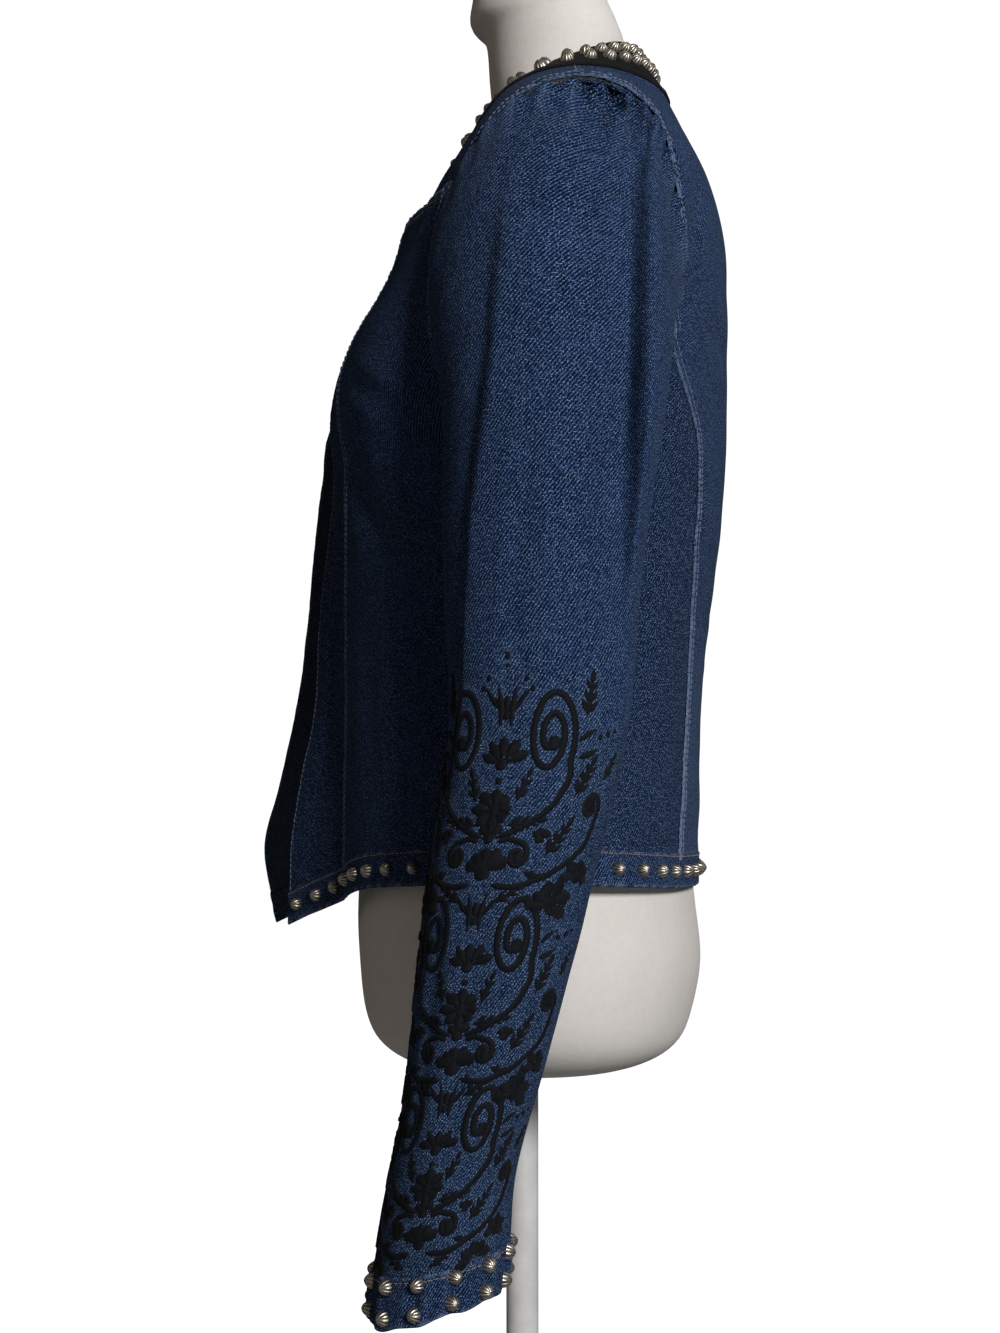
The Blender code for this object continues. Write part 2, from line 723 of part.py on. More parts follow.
def body_wall(name, grid, place, side, finish, collection, lap=0.0):
    """Panel of the body, just clear of its neighbours."""
    def outer(u, v):
        angle, z = place(inset(u, PANEL_BREADTH), inset(v, PANEL_HEIGHT))
        point, normal = torso_place(angle, z, side)
        raised = lap * ease((v - 1.0 + LAP_SHARE) / LAP_SHARE)
        return point + normal * raised, normal
    return wall(name, grid, outer, DENIM, finish, collection)


def studded_strip(name, length, levels, studs, studded, thickness, place,
                  finish, collection, closed=False):
    """Band with a stud in each cell of its studded rows.

    The band is made flat, with its length along X and its height along Y, as a slab
    of one cell for each stud. Studs are raised on its upper face only, so the inside
    stays plain, and place(u, v) then wraps the slab.
    """
    rows = len(levels) - 1
    bm = bmesh.new()
    bmesh.ops.create_grid(bm, x_segments=studs, y_segments=rows, size=0.5)
    for vert in bm.verts:
        row = round((vert.co.y + 0.5) * rows)
        vert.co = Vector(((vert.co.x + 0.5) * length, levels[row], 0.0))
    top = list(bm.faces)
    extruded = bmesh.ops.extrude_face_region(bm, geom=top)["geom"]
    for item in extruded:
        if isinstance(item, bmesh.types.BMVert):
            item.co.z = -thickness
    cells = []
    for face in bm.faces:
        level = face.calc_center_median()
        if level.z > -TINY and any(low < level.y < high for low, high in studded):
            cells.append(face)
    bmesh.ops.inset_individual(bm, faces=cells, thickness=STUD_BORDER,
                               use_even_offset=True)
    edges = list({edge for face in cells for edge in face.edges})
    bmesh.ops.subdivide_edges(bm, edges=edges, cuts=1)
    for face in cells:
        centre = face.calc_center_bounds()
        for vert in face.verts:
            offset = vert.co - centre
            corner = min(abs(offset.x), abs(offset.y)) > 1.0e-5
            if corner:
                reach = STUD_RADIUS * math.sqrt(0.5)
                vert.co.x = centre.x + math.copysign(reach, offset.x)
                vert.co.y = centre.y + math.copysign(reach, offset.y)
            else:
                vert.co = centre + offset.normalized() * STUD_RADIUS
    bmesh.ops.recalc_face_normals(bm, faces=bm.faces)
    bmesh.ops.poke(bm, faces=cells, offset=STUD_HEIGHT, center_mode="MEAN")
    if closed:
        ends = [
            face for face in bm.faces
            if all(vert.co.x < TINY for vert in face.verts)
            or all(vert.co.x > length - TINY for vert in face.verts)
        ]
        bmesh.ops.delete(bm, geom=ends, context="FACES")
    for vert in bm.verts:
        point, normal = place(vert.co.x / length, vert.co.y / levels[-1])
        vert.co = point + normal * vert.co.z
    if closed:
        bmesh.ops.remove_doubles(bm, verts=bm.verts, dist=1.0e-5)
    return add_object(name, bm, finish, collection)


# Pieces ---------------------------------------------------------------------------------

SIDES = (("left", 1), ("right", -1))


def make_body(denim, collection):
    """Back, side back, side front, front and yoke panels."""
    body_wall("back_panel", BACK_GRID, back_patch(), 1, denim, collection)
    for word, side in SIDES:
        body_wall(f"side_back_{word}", SIDE_BACK_GRID, side_back_patch(), side,
                  denim, collection)
        body_wall(f"side_front_{word}", SIDE_FRONT_GRID, side_front_patch(), side,
                  denim, collection, lap=YOKE_LAP)
        body_wall(f"front_{word}", FRONT_GRID, front_patch(), side,
                  denim, collection, lap=YOKE_LAP)
        body_wall(f"front_yoke_{word}", YOKE_GRID, yoke_patch(), side,
                  denim, collection)


def hem_strip(name, start, end, side, denim, collection):
    """Turned and studded hem of one panel, between two angles about the body."""
    length = 0.0
    for part in range(HEM_PARTS):
        first = mix(start, end, part / HEM_PARTS)
        second = mix(start, end, (part + 1) / HEM_PARTS)
        step = torso_point(second, panel_foot(second), side)
        step -= torso_point(first, panel_foot(first), side)
        length += step.length
    studs = max(round(length / HEM_PITCH), 1)

    def place(u, v):
        angle = mix(start, end, inset(u, length))
        low = read(HEM_LINE, abs(angle)).z
        z = low + v * (HEM_HEIGHT - SEAM_GAP)
        point, normal = torso_place(angle, z, side)
        return point + normal * HEM_PROUD, normal

    levels = (0.0, HEM_HEIGHT)
    studded_strip(name, length, levels, studs, (levels,), DOUBLED_DENIM, place,
                  denim, collection)


def make_hems(denim, collection):
    """Turned hems of the body, one for each panel."""
    back = back_princess(seam_foot(back_princess))
    flank = side_seam(seam_foot(side_seam))
    princess = front_princess(seam_foot(front_princess))
    edge = front_edge(seam_foot(front_edge))
    hem_strip("hem_back", -back, back, 1, denim, collection)
    for word, side in SIDES:
        hem_strip(f"hem_side_back_{word}", back, flank, side, denim, collection)
        hem_strip(f"hem_side_front_{word}", flank, princess, side, denim, collection)
        hem_strip(f"hem_front_{word}", princess, edge, side, denim, collection)


def neck_band_point(turn, share):
    """Point of the neck band's outer face: turn in degrees, share of its height."""
    side = math.copysign(1.0, turn)
    angle = abs(turn)
    seam = neck_seam(angle)
    foot = torso_point(seam.x, seam.y + NECK_BAND_RISE, side)
    rim = read(NECK_RIM, angle)
    crest = Vector((side * rim.x, rim.y, rim.z))
    outward = Vector((foot.x, foot.y - NECK_AXIS_Y, 0.0)).normalized()
    bulge = NECK_BAND_BULGE * 4.0 * share * (1.0 - share)
    return mix(foot, crest, share) + outward * bulge


def make_neck_band(velvet, collection):
    """Studded band round the neck, open at the centre front."""
    end = NECK_SEAM[-1].angle
    levels = NECK_BAND_LEVELS

    def place(u, v):
        turn = mix(-end, end, u)
        share = mix(0.01, 1.0, v)
        point = neck_band_point(turn, share)
        around = neck_band_point(turn + TURN_STEP, share)
        around -= neck_band_point(turn - TURN_STEP, share)
        upward = neck_band_point(turn, share + 0.01) - neck_band_point(turn, share - 0.01)
        return point, upward.cross(around).normalized()

    studded_strip("neck_band", NECK_BAND_LENGTH, levels, NECK_BAND_STUDS,
                  (levels[1:3], levels[2:4]), NECK_BAND_THICKNESS, place,
                  velvet, collection)


def sleeve_fold(angle, share, side):
    """Depth of a sleeve's folds at an angle about the arm and a share of its length."""
    total = 0.0
    for fold in SLEEVE_FOLDS:
        if fold.side != side:
            continue
        along = (share - fold.top) / (fold.end - fold.top)
        centre = mix(fold.angle_top, fold.angle_end, along)
        away = (angle - centre + 180.0) % 360.0 - 180.0
        ends = ease(along / FOLD_RUN_OUT) * ease((1.0 - along) / FOLD_RUN_OUT)
        total += fold.depth * ends * math.exp(-(away / fold.width) ** 2)
    return total


def sleeve_ring(angle, z, drop=0.0):
    """Point of the hanging sleeve at an angle about the arm."""
    row = read(SLEEVE, z)
    across = row.half_depth * math.sin(math.radians(angle))
    return Vector((
        row.x + row.half_thickness * math.cos(math.radians(angle)),
        row.y + across,
        z + row.tilt * across - drop,
    ))


SLEEVE_TOP_Z = SLEEVE[-1].z
SLEEVE_END_Z = SLEEVE[0].z + CUFF_HEIGHT


def sleeve_point(angle, share, side):
    """Point of the sleeve's outer face: share 0 at the armhole, 1 at its hem."""
    if share < HEAD_SHARE:
        t = share / HEAD_SHARE
        seam = armhole(angle % 360.0)
        start, outward = torso_place(seam.x, seam.y, 1)
        start = start + outward * (DENIM + SLEEVE_RISE)
        end = sleeve_ring(angle, SLEEVE_TOP_Z)
        reach = (end - start).length * SLEEVE_HEAD_FULLNESS
        leave = Vector((
            math.cos(math.radians(SLEEVE_HEAD_DROP)),
            SLEEVE_HEAD_BULGE * math.sin(math.radians(angle)),
            -math.sin(math.radians(SLEEVE_HEAD_DROP)),
        ))
        arrive = sleeve_ring(angle, SLEEVE_TOP_Z - STEP) - end
        point = bezier(start, start + leave * reach,
                       end - arrive.normalized() * reach * SLEEVE_HEAD_ARRIVAL, end, t)
    else:
        t = (share - HEAD_SHARE) / (1.0 - HEAD_SHARE)
        point = sleeve_ring(angle, mix(SLEEVE_TOP_Z, SLEEVE_END_Z, t))
    axis = read(SLEEVE, min(point.z, SLEEVE_TOP_Z))
    inward = Vector((axis.x - point.x, axis.y - point.y, 0.0))
    depth = sleeve_fold(angle, share, side)
    point += inward.normalized() * depth
    return Vector((side * point.x, point.y, point.z))


def sleeve_place(angle, share, side):
    """Point of the sleeve and its outward normal."""
    point = sleeve_point(angle, share, side)
    low = max(share - 0.002, 0.0)
    around = sleeve_point(angle + TURN_STEP, share, side)
    around -= sleeve_point(angle - TURN_STEP, share, side)
    along = sleeve_point(angle, low + 0.004, side) - sleeve_point(angle, low, side)
    return point, (along.cross(around) * side).normalized()


def make_sleeves(denim, collection):
    """Upper sleeve and under sleeve on each side, with their turned cuff hems."""
    under = 180.0 - UNDER_SLEEVE_HALF_ANGLE
    pieces = (
        ("upper_sleeve", UPPER_SLEEVE_GRID, -under, under),
        ("under_sleeve", UNDER_SLEEVE_GRID, under, 360.0 - under),
    )
    for word, side in SIDES:
        for kind, grid, start, end in pieces:
            def outer(u, v, start=start, end=end, side=side):
                angle = mix(start, end, inset(u, PANEL_BREADTH))
                return sleeve_place(angle, mix(0.0, 1.0 - SEAM_GAP, v), side)
            wall(f"{kind}_{word}", grid, outer, DENIM, denim, collection)
        make_cuff(word, side, denim, collection)


def make_cuff(word, side, denim, collection):
    """Turned sleeve hem with two rows of studs."""
    row = SLEEVE[0]
    length = math.pi * (row.half_depth + row.half_thickness)
    levels = CUFF_LEVELS
    bottom = SLEEVE[0].z

    def point_at(angle, z):
        point = sleeve_ring(angle, z)
        return Vector((side * point.x, point.y, point.z))

    def place(u, v):
        angle = 180.0 + 360.0 * u
        z = bottom + v * (CUFF_HEIGHT - 2.0 * SEAM_GAP)
        point = point_at(angle, z)
        around = point_at(angle + TURN_STEP, z) - point_at(angle - TURN_STEP, z)
        along = point_at(angle, z - STEP) - point_at(angle, z + STEP)
        normal = (along.cross(around) * side).normalized()
        return point + normal * CUFF_PROUD, normal

    studded_strip(f"cuff_{word}", length, levels, CUFF_STUDS,
                  (levels[0:2], levels[1:3]), DOUBLED_DENIM, place,
                  denim, collection, closed=True)


def make_form(shell, collection):
    """Dress form with a plain neck and head, closed and smooth."""
    bm = bmesh.new()
    bmesh.ops.create_uvsphere(bm, u_segments=FORM_GRID[0], v_segments=FORM_GRID[1],
                              radius=1.0)
    first_ring = 1.0 / FORM_GRID[1]
    for vert in bm.verts:
        latitude = 1.0 - math.acos(min(max(vert.co.z, -1.0), 1.0)) / math.pi
        angle = math.degrees(math.atan2(vert.co.x, vert.co.y))
        share = (latitude - first_ring) / (1.0 - 2.0 * first_ring)
        at_pole = share < -TINY or share > 1.0 + TINY
        row = read_by_row(FORM, min(max(share, 0.0), 1.0) * (len(FORM) - 1))
        depth = row.centre - row.front if abs(angle) > 90.0 else row.back - row.centre
        radius = 0.0 if at_pole else polar(angle, row.half_width, depth, row.power)
        rise = CROWN_RISE if at_pole and share > 0.5 else 0.0
        vert.co = Vector((
            radius * math.sin(math.radians(angle)),
            row.centre + radius * math.cos(math.radians(angle)),
            row.z + rise,
        ))
    add_object("dress_form", bm, shell, collection)


def make_stand(paint, collection):
    """Pole and round base plate."""
    bm = bmesh.new()
    length = POLE_TOP_Z - BASE_THICKNESS - SOCKET_HEIGHT - 2.0 * SEAM_GAP
    bmesh.ops.create_cone(bm, cap_ends=True, segments=24, radius1=POLE_RADIUS,
                          radius2=POLE_RADIUS, depth=length)
    pole = add_object("pole", bm, paint, collection)
    pole.location.z = POLE_TOP_Z - length / 2.0

    bm = bmesh.new()
    bmesh.ops.create_cone(bm, cap_ends=True, segments=24, radius1=SOCKET_RADIUS,
                          radius2=SOCKET_RADIUS * SOCKET_TAPER, depth=SOCKET_HEIGHT)
    socket = add_object("pole_socket", bm, paint, collection)
    socket.location.z = BASE_THICKNESS + SEAM_GAP + SOCKET_HEIGHT / 2.0

    bm = bmesh.new()
    bmesh.ops.create_cone(bm, cap_ends=True, segments=48, radius1=BASE_RADIUS,
                          radius2=BASE_RADIUS, depth=BASE_THICKNESS)
    base = add_object("base_plate", bm, paint, collection)
    base.location.z = BASE_THICKNESS / 2.0
    bevel = base.modifiers.new("rim", "BEVEL")
    bevel.width = BASE_BEVEL
    bevel.segments = 1


def main():
    """Clear the scene and build every piece."""
    for item in list(bpy.data.objects):
        bpy.data.objects.remove(item)
    collection = bpy.data.collections.new(COLLECTION)
    bpy.context.scene.collection.children.link(collection)
    denim = material("denim", (0.030, 0.055, 0.125), 0.85, 0.0)
    velvet = material("velvet", (0.008, 0.008, 0.009), 0.95, 0.0)
    shell = material("form_shell", (0.80, 0.79, 0.77), 0.55, 0.0)
    paint = material("white_paint", (0.78, 0.78, 0.78), 0.40, 0.0)
    make_body(denim, collection)
    make_hems(denim, collection)
    make_neck_band(velvet, collection)
    make_sleeves(denim, collection)
    make_form(shell, collection)
    make_stand(paint, collection)
    bpy.context.view_layer.update()


main()
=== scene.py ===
"""Cropped collarless denim jacket on a dress form: cloth, sewing, trims and finishes.

Frame: metres, angles in degrees, +Z up. The front faces -Y and the wearer's left is +X.
Every piece of cloth is worked out as a grid of places on the same surfaces as the solid
that it stands for, then given its creases and seams, and made a thin wall.
"""

import logging
import math
from dataclasses import dataclass, field
from enum import Enum
from typing import Any, Callable, Sequence

import bmesh
import bpy
import numpy as np
from mathutils import Matrix, Vector
from mathutils.kdtree import KDTree


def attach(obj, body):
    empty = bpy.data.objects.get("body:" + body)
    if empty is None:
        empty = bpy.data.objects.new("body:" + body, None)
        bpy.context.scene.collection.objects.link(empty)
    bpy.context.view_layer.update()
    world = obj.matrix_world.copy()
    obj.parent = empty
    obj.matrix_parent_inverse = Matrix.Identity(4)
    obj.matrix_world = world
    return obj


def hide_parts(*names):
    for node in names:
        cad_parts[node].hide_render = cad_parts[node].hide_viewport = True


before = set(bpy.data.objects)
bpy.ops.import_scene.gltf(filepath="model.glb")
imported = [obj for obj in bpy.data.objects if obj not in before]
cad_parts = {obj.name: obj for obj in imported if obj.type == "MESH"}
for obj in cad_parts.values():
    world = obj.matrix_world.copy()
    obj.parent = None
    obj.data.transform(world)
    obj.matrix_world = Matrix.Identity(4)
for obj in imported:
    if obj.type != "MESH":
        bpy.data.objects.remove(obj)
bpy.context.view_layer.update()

LOG = logging.getLogger("jacket")
BODY = "root"
MM = 0.001

DENIM = 0.0015             # thickness of one layer
DOUBLED_DENIM = 0.0026
SHELL_DENIM = 0.0013       # thickness of a layer as it is sewn here
CLOTH_STEP = 0.0030        # spacing of the cloth grids away from their edges
EDGE_STEPS = (0.0, 0.0006, 0.0013, 0.0022, 0.0034, 0.0050, 0.0070, 0.0095, 0.0125)
DIFFERENCE = 1.0e-4        # step of the differences that give a normal
SHARP_ANGLE = math.radians(50.0)
ROUNDED = 0.98             # share of a quarter circle that a rolled edge follows

Array = np.ndarray
Curve = Callable[[Array], Array]


# Numbers ---------------------------------------------------------------------------


def mix(start: Any, end: Any, share: Any) -> Any:
    """Value a share of the way from start to end."""
    return start + (end - start) * share


def ease(share: Any) -> Any:
    """0 to 1 with level ends, for numbers or arrays."""
    share = np.clip(share, 0.0, 1.0)
    return share * share * (3.0 - 2.0 * share)


def ripple(place: Array, pitch: float, seed: int) -> Array:
    """Uneven wave from about -1 to 1.

    Args:
        place: Distances along the wave, in metres.
        pitch: Usual length of one wave, in metres.
        seed: Seed of the wave's phases.

    Returns:
        Height of the wave at each place.
    """
    phases = np.random.default_rng(seed).uniform(0.0, 2.0 * math.pi, 4)
    total = np.zeros_like(np.asarray(place, float))
    for phase, stretch, height in zip(phases, (0.79, 1.0, 1.43, 2.30),
                                      (0.32, 0.42, 0.36, 0.28)):
        total += height * np.sin(2.0 * math.pi * place / (pitch * stretch) + phase)
    return total


def rolled(away: Array, radius: float) -> Array:
    """How far a rolled edge drops at a distance from it."""
    inside = np.clip((radius - away) / radius, 0.0, 1.0)
    return radius * (1.0 - np.sqrt(1.0 - (ROUNDED * inside) ** 2))


def wrapped(angle: Array) -> Array:
    """The same angle between -180 and 180 degrees."""
    return (angle + 180.0) % 360.0 - 180.0


def counted(values: Any, keys: Array) -> Any:
    """Where values lie in a rising list, counted in its places."""
    return np.interp(values, keys, np.arange(len(keys)))


def running(points: Array, axis: int) -> Array:
    """Length run along one axis of a grid of points, from its first row or column."""
    steps = np.linalg.norm(np.diff(points, axis=axis), axis=-1)
    start = np.zeros_like(np.take(steps, [0], axis=axis))
    return np.concatenate([start, np.cumsum(steps, axis=axis)], axis=axis)


def stations(length: float, step: float = CLOTH_STEP, low: bool = True,
             high: bool = True) -> Array:
    """Shares of a length at which a cloth grid has its rows or columns.

    Args:
        length: Usual length, in metres.
        step: Spacing away from the ends, in metres.
        low: Whether the spacing is fine near 0.
        high: Whether the spacing is fine near 1.

    Returns:
        Rising shares from 0 to 1.
    """
    near = [place for place in EDGE_STEPS if place < 0.40 * length]
    start = np.array(near if low else near[:1])
    end = length - np.array(near if high else near[:1])[::-1]
    count = max(int(round((end[0] - start[-1]) / step)), 1)
    middle = np.linspace(start[-1], end[0], count + 1)[1:-1]
    return np.concatenate([start, middle, end]) / length


def unit(vectors: Array) -> Array:
    """Vectors of length 1 along the last axis."""
    return vectors / np.maximum(np.linalg.norm(vectors, axis=-1, keepdims=True), 1e-12)


def between(grid: Array, rows: Array, columns: Array) -> Array:
    """Values of a grid at places counted in rows and columns, with even blending."""
    row = np.clip(rows, 0.0, grid.shape[0] - 1.001)
    column = np.clip(columns, 0.0, grid.shape[1] - 1.001)
    r0, c0 = row.astype(int), column.astype(int)
    fr, fc = (row - r0)[..., None], (column - c0)[..., None]
    top = grid[r0, c0] * (1.0 - fc) + grid[r0, c0 + 1] * fc
    low = grid[r0 + 1, c0] * (1.0 - fc) + grid[r0 + 1, c0 + 1] * fc
    return top * (1.0 - fr) + low * fr


class Table:
    """Smooth curve through rows of numbers, read at any value of their first column."""

    def __init__(self, *rows: Sequence[float]) -> None:
        """Keeps the rows and the slope at each."""
        data = np.array(rows, float)
        above = np.vstack([data[1:], data[-1:]])
        below = np.vstack([data[:1], data[:-1]])
        self.keys = data[:, 0]
        self.values = data[:, 1:]
        self.slopes = (above - below)[:, 1:] / (above - below)[:, :1]

    def at(self, position: Any) -> Array:
        """Values at a position.

        Args:
            position: Number or array, held inside the first column's range.

        Returns:
            One array for each further column, stacked on the first axis.
        """
        place = np.clip(np.asarray(position, float), self.keys[0], self.keys[-1])
        upper = np.clip(np.searchsorted(self.keys, place, side="right"), 1,
                        len(self.keys) - 1)
        lower = upper - 1
        span = self.keys[upper] - self.keys[lower]
        t = ((place - self.keys[lower]) / span)[..., None]
        start, end = self.values[lower], self.values[upper]
        leave = self.slopes[lower] * span[..., None]
        arrive = self.slopes[upper] * span[..., None]
        rise = end - start
        values = (start + leave * t + (3.0 * rise - 2.0 * leave - arrive) * t ** 2
                  + (leave + arrive - 2.0 * rise) * t ** 3)
        return np.moveaxis(values, -1, 0)

    def one(self, position: Any) -> Array:
        """Value of the second column alone."""
        return self.at(position)[0]


def polar(angle: Array, half_width: Array, depth: Array, power: Array) -> Array:
    """Distance from the axis to a rounded outline, in the direction of the angle."""
    across = np.abs(np.sin(np.radians(angle))) / half_width
    along = np.abs(np.cos(np.radians(angle))) / depth
    return (across ** power + along ** power) ** (-1.0 / power)


def outline_depth(x: Array, half_width: Array, depth: Array, power: Array) -> Array:
    """Depth of a rounded outline at a distance x from the centre line."""
    share = np.minimum(np.abs(x) / half_width, 1.0)
    return depth * (1.0 - share ** power) ** (1.0 / power)


# Surfaces --------------------------------------------------------------------------


@dataclass(frozen=True)
class Crease:
    """Soft trough between two places, or a ridge where its depth is below 0.

    Low ridges run beside it where lips is above 0, and the slope on its far side, where
    the distance across grows, is steeper than the other by the share called skew.
    """

    side: int
    across_top: float
    top: float
    across_end: float
    end: float
    depth: float
    width: float
    lips: float = 0.0
    skew: float = 0.0

    def relief(self, share: Array, away: Array, run_out: float = 0.3) -> Array:
        """Depth of the trough at a share of its length and a distance from its line."""
        ends = ease(share / run_out) * ease((1.0 - share) / run_out)
        width = self.width * (1.0 - self.skew * np.sign(away))
        trough = np.exp(-(away / width) ** 2)
        lip = np.exp(-((np.abs(away) - 1.9 * self.width) / (0.8 * self.width)) ** 2)
        return self.depth * ends * (trough - self.lips * lip)


@dataclass
class Torso:
    """Surface that the body of the jacket lies on, by angle from the back and height."""

    sections: Table = field(default_factory=lambda: Table(
        (0.500, 0.1730, 0.008, 0.1065, -0.1085, 2.2, 2.5),
        (0.540, 0.1730, 0.008, 0.1064, -0.1085, 2.2, 2.5),
        (0.580, 0.1710, 0.009, 0.1070, -0.1085, 2.2, 2.5),
        (0.630, 0.1675, 0.009, 0.1080, -0.1080, 2.2, 2.5),
        (0.690, 0.1655, 0.009, 0.1130, -0.1080, 2.2, 2.5),
        (0.740, 0.1680, 0.009, 0.1200, -0.1085, 2.2, 2.5),
        (0.790, 0.1735, 0.009, 0.1242, -0.1105, 2.2, 2.5),
        (0.820, 0.1770, 0.010, 0.1250, -0.1140, 2.2, 2.5),
        (0.850, 0.1810, 0.012, 0.1253, -0.1050, 2.25, 2.5),
        (0.885, 0.1860, 0.017, 0.1250, -0.0825, 2.3, 2.5),
        (0.920, 0.1900, 0.024, 0.1238, -0.0632, 2.2, 2.5),
        (0.950, 0.1890, 0.032, 0.1170, -0.0457, 2.0, 2.5),
        (0.976, 0.1710, 0.038, 0.1082, -0.0314, 1.7, 2.4),
        (0.995, 0.1320, 0.037, 0.1012, -0.0240, 1.65, 2.3),
        (1.012, 0.0940, 0.036, 0.0935, -0.0172, 1.75, 2.2),
        (1.030, 0.0700, 0.034, 0.0860, -0.0110, 1.9, 2.1)))
    back_princess_x: Table = field(default_factory=lambda: Table(
        (0.500, 0.1090), (0.550, 0.1070), (0.582, 0.1030), (0.630, 0.0950),
        (0.680, 0.0955), (0.730, 0.1045), (0.768, 0.1090), (0.791, 0.1150),
        (0.810, 0.1270), (0.830, 0.1410), (0.852, 0.1493)))
    front_princess_x: Table = field(default_factory=lambda: Table(
        (0.500, 0.0885), (0.600, 0.0868), (0.700, 0.0832), (0.800, 0.0920),
        (0.860, 0.0900), (0.940, 0.0860)))
    front_edge_x: Table = field(default_factory=lambda: Table(
        (0.500, 0.0500), (0.620, 0.0450), (0.740, 0.0360), (0.850, 0.0260),
        (0.940, 0.0180)))
    flare: Table = field(default_factory=lambda: Table(
        (0.500, 0.0300, 0.0480), (0.535, 0.0300, 0.0560), (0.565, 0.0290, 0.0600),
        (0.600, 0.0240, 0.0510), (0.640, 0.0170, 0.0420), (0.690, 0.0140, 0.0330),
        (0.740, 0.0080, 0.0270), (0.780, 0.0030, 0.0205), (0.830, 0.0010, 0.0080),
        (0.870, 0.0000, 0.0010), (0.940, 0.0000, 0.0000)))
    sag: tuple[float, float] = (0.0, 0.0075)
    hem_line: Table = field(default_factory=lambda: Table(
        (0.0, 0.5385), (50.0, 0.5415), (90.0, 0.5485), (120.0, 0.5445),
        (137.0, 0.5365), (150.0, 0.5240), (160.0, 0.5130), (180.0, 0.5060)))
    neck_line: Table = field(default_factory=lambda: Table(
        (0.0, 1.0180), (45.0, 1.0170), (90.0, 1.0116), (110.0, 1.0050),
        (127.0, 0.9830), (138.0, 0.9640), (151.0, 0.9490), (168.0, 0.9390)))
    armhole_y: Table = field(default_factory=lambda: Table(
        (0.0, 0.0380), (15.0, 0.0595), (30.0, 0.0730), (45.0, 0.0797),
        (60.0, 0.0839), (75.0, 0.0875), (90.0, 0.0895), (120.0, 0.0770),
        (150.0, 0.0480), (180.0, 0.0120), (210.0, -0.0210), (240.0, -0.0365),
        (270.0, -0.0385), (285.0, -0.0345), (300.0, -0.0252), (315.0, -0.0137),
        (330.0, -0.0005), (345.0, 0.0165), (360.0, 0.0380)))
    folds: tuple[Crease, ...] = (
        Crease(1, 139.0, 0.800, 118.0, 0.715, 0.0055, 0.012),
        Crease(-1, 138.0, 0.805, 120.0, 0.725, 0.0050, 0.012),
        Crease(1, 150.0, 0.740, 151.0, 0.560, 0.0020, 0.008),
        Crease(-1, 149.0, 0.730, 152.0, 0.570, 0.0024, 0.009),
        Crease(1, 72.0, 0.745, 66.0, 0.585, 0.0030, 0.014),
        Crease(-1, 70.0, 0.750, 64.0, 0.590, 0.0030, 0.014),
        # Smaller creases, which the solids do not have.
        Crease(1, 155.5, 0.800, 157.0, 0.600, 0.0010, 0.0035, 0.5),
        Crease(1, 147.0, 0.790, 146.5, 0.640, 0.0008, 0.0032, 0.5),
        Crease(1, 159.0, 0.720, 161.0, 0.560, 0.0012, 0.0045, 0.4),
        Crease(-1, 154.0, 0.800, 158.0, 0.620, 0.0010, 0.0040, 0.5),
        Crease(-1, 160.0, 0.700, 163.0, 0.560, 0.0012, 0.0045, 0.4),
        Crease(1, 134.0, 0.830, 114.0, 0.800, 0.0011, 0.0060, 0.6),
        Crease(-1, 133.0, 0.835, 112.0, 0.800, 0.0011, 0.0060, 0.6),
        Crease(1, 128.0, 0.700, 124.0, 0.580, 0.0014, 0.0090, 0.3),
        Crease(-1, 127.0, 0.690, 122.0, 0.585, 0.0014, 0.0090, 0.3),
        Crease(1, 112.0, 0.740, 106.0, 0.600, 0.0012, 0.0070, 0.4),
        Crease(-1, 110.0, 0.745, 108.0, 0.590, 0.0012, 0.0070, 0.4),
        Crease(1, 96.0, 0.770, 88.0, 0.640, 0.0016, 0.0080, 0.4),
        Crease(-1, 94.0, 0.765, 90.0, 0.650, 0.0016, 0.0080, 0.4),
        Crease(1, 54.0, 0.860, 30.0, 0.845, 0.0014, 0.0075, 0.5),
        Crease(-1, 56.0, 0.856, 34.0, 0.838, 0.0013, 0.0075, 0.5),
        Crease(1, 40.0, 0.700, 12.0, 0.672, 0.0013, 0.0065, 0.5),
        Crease(-1, 44.0, 0.690, 16.0, 0.668, 0.0012, 0.0065, 0.5),
        Crease(1, 8.0, 0.715, -16.0, 0.705, 0.0010, 0.0060, 0.5),
        Crease(1, 22.0, 0.640, 20.0, 0.560, 0.0012, 0.0080, 0.4),
        Crease(-1, 26.0, 0.645, 23.0, 0.560, 0.0012, 0.0080, 0.4),
        Crease(1, 112.0, 0.945, 124.0, 0.905, 0.0012, 0.0060, 0.5),
        Crease(-1, 114.0, 0.943, 126.0, 0.905, 0.0012, 0.0060, 0.5),
        Crease(1, 59.0, 0.950, 62.0, 0.880, 0.0034, 0.0070, 0.3),
        Crease(-1, 58.0, 0.948, 62.0, 0.882, 0.0034, 0.0070, 0.3),
    )
    hem_height: float = 0.0195
    armhole_z: float = 0.883
    armhole_half_height: float = 0.093
    side_seam_y: float = 0.012
    yoke_z: float = 0.922
    back_seam_top: float = 0.8602
    shoulder_angle: float = 90.0
    neck_end: float = 168.0

    def depth_power(self, angle: Array, row: Array) -> tuple[Array, Array]:
        """Depth and roundness of the outline on the side that an angle points to."""
        _, centre, back, front, back_power, front_power = row
        ahead = np.abs(angle) > 90.0
        return (np.where(ahead, centre - front, back - centre),
                np.where(ahead, front_power, back_power))

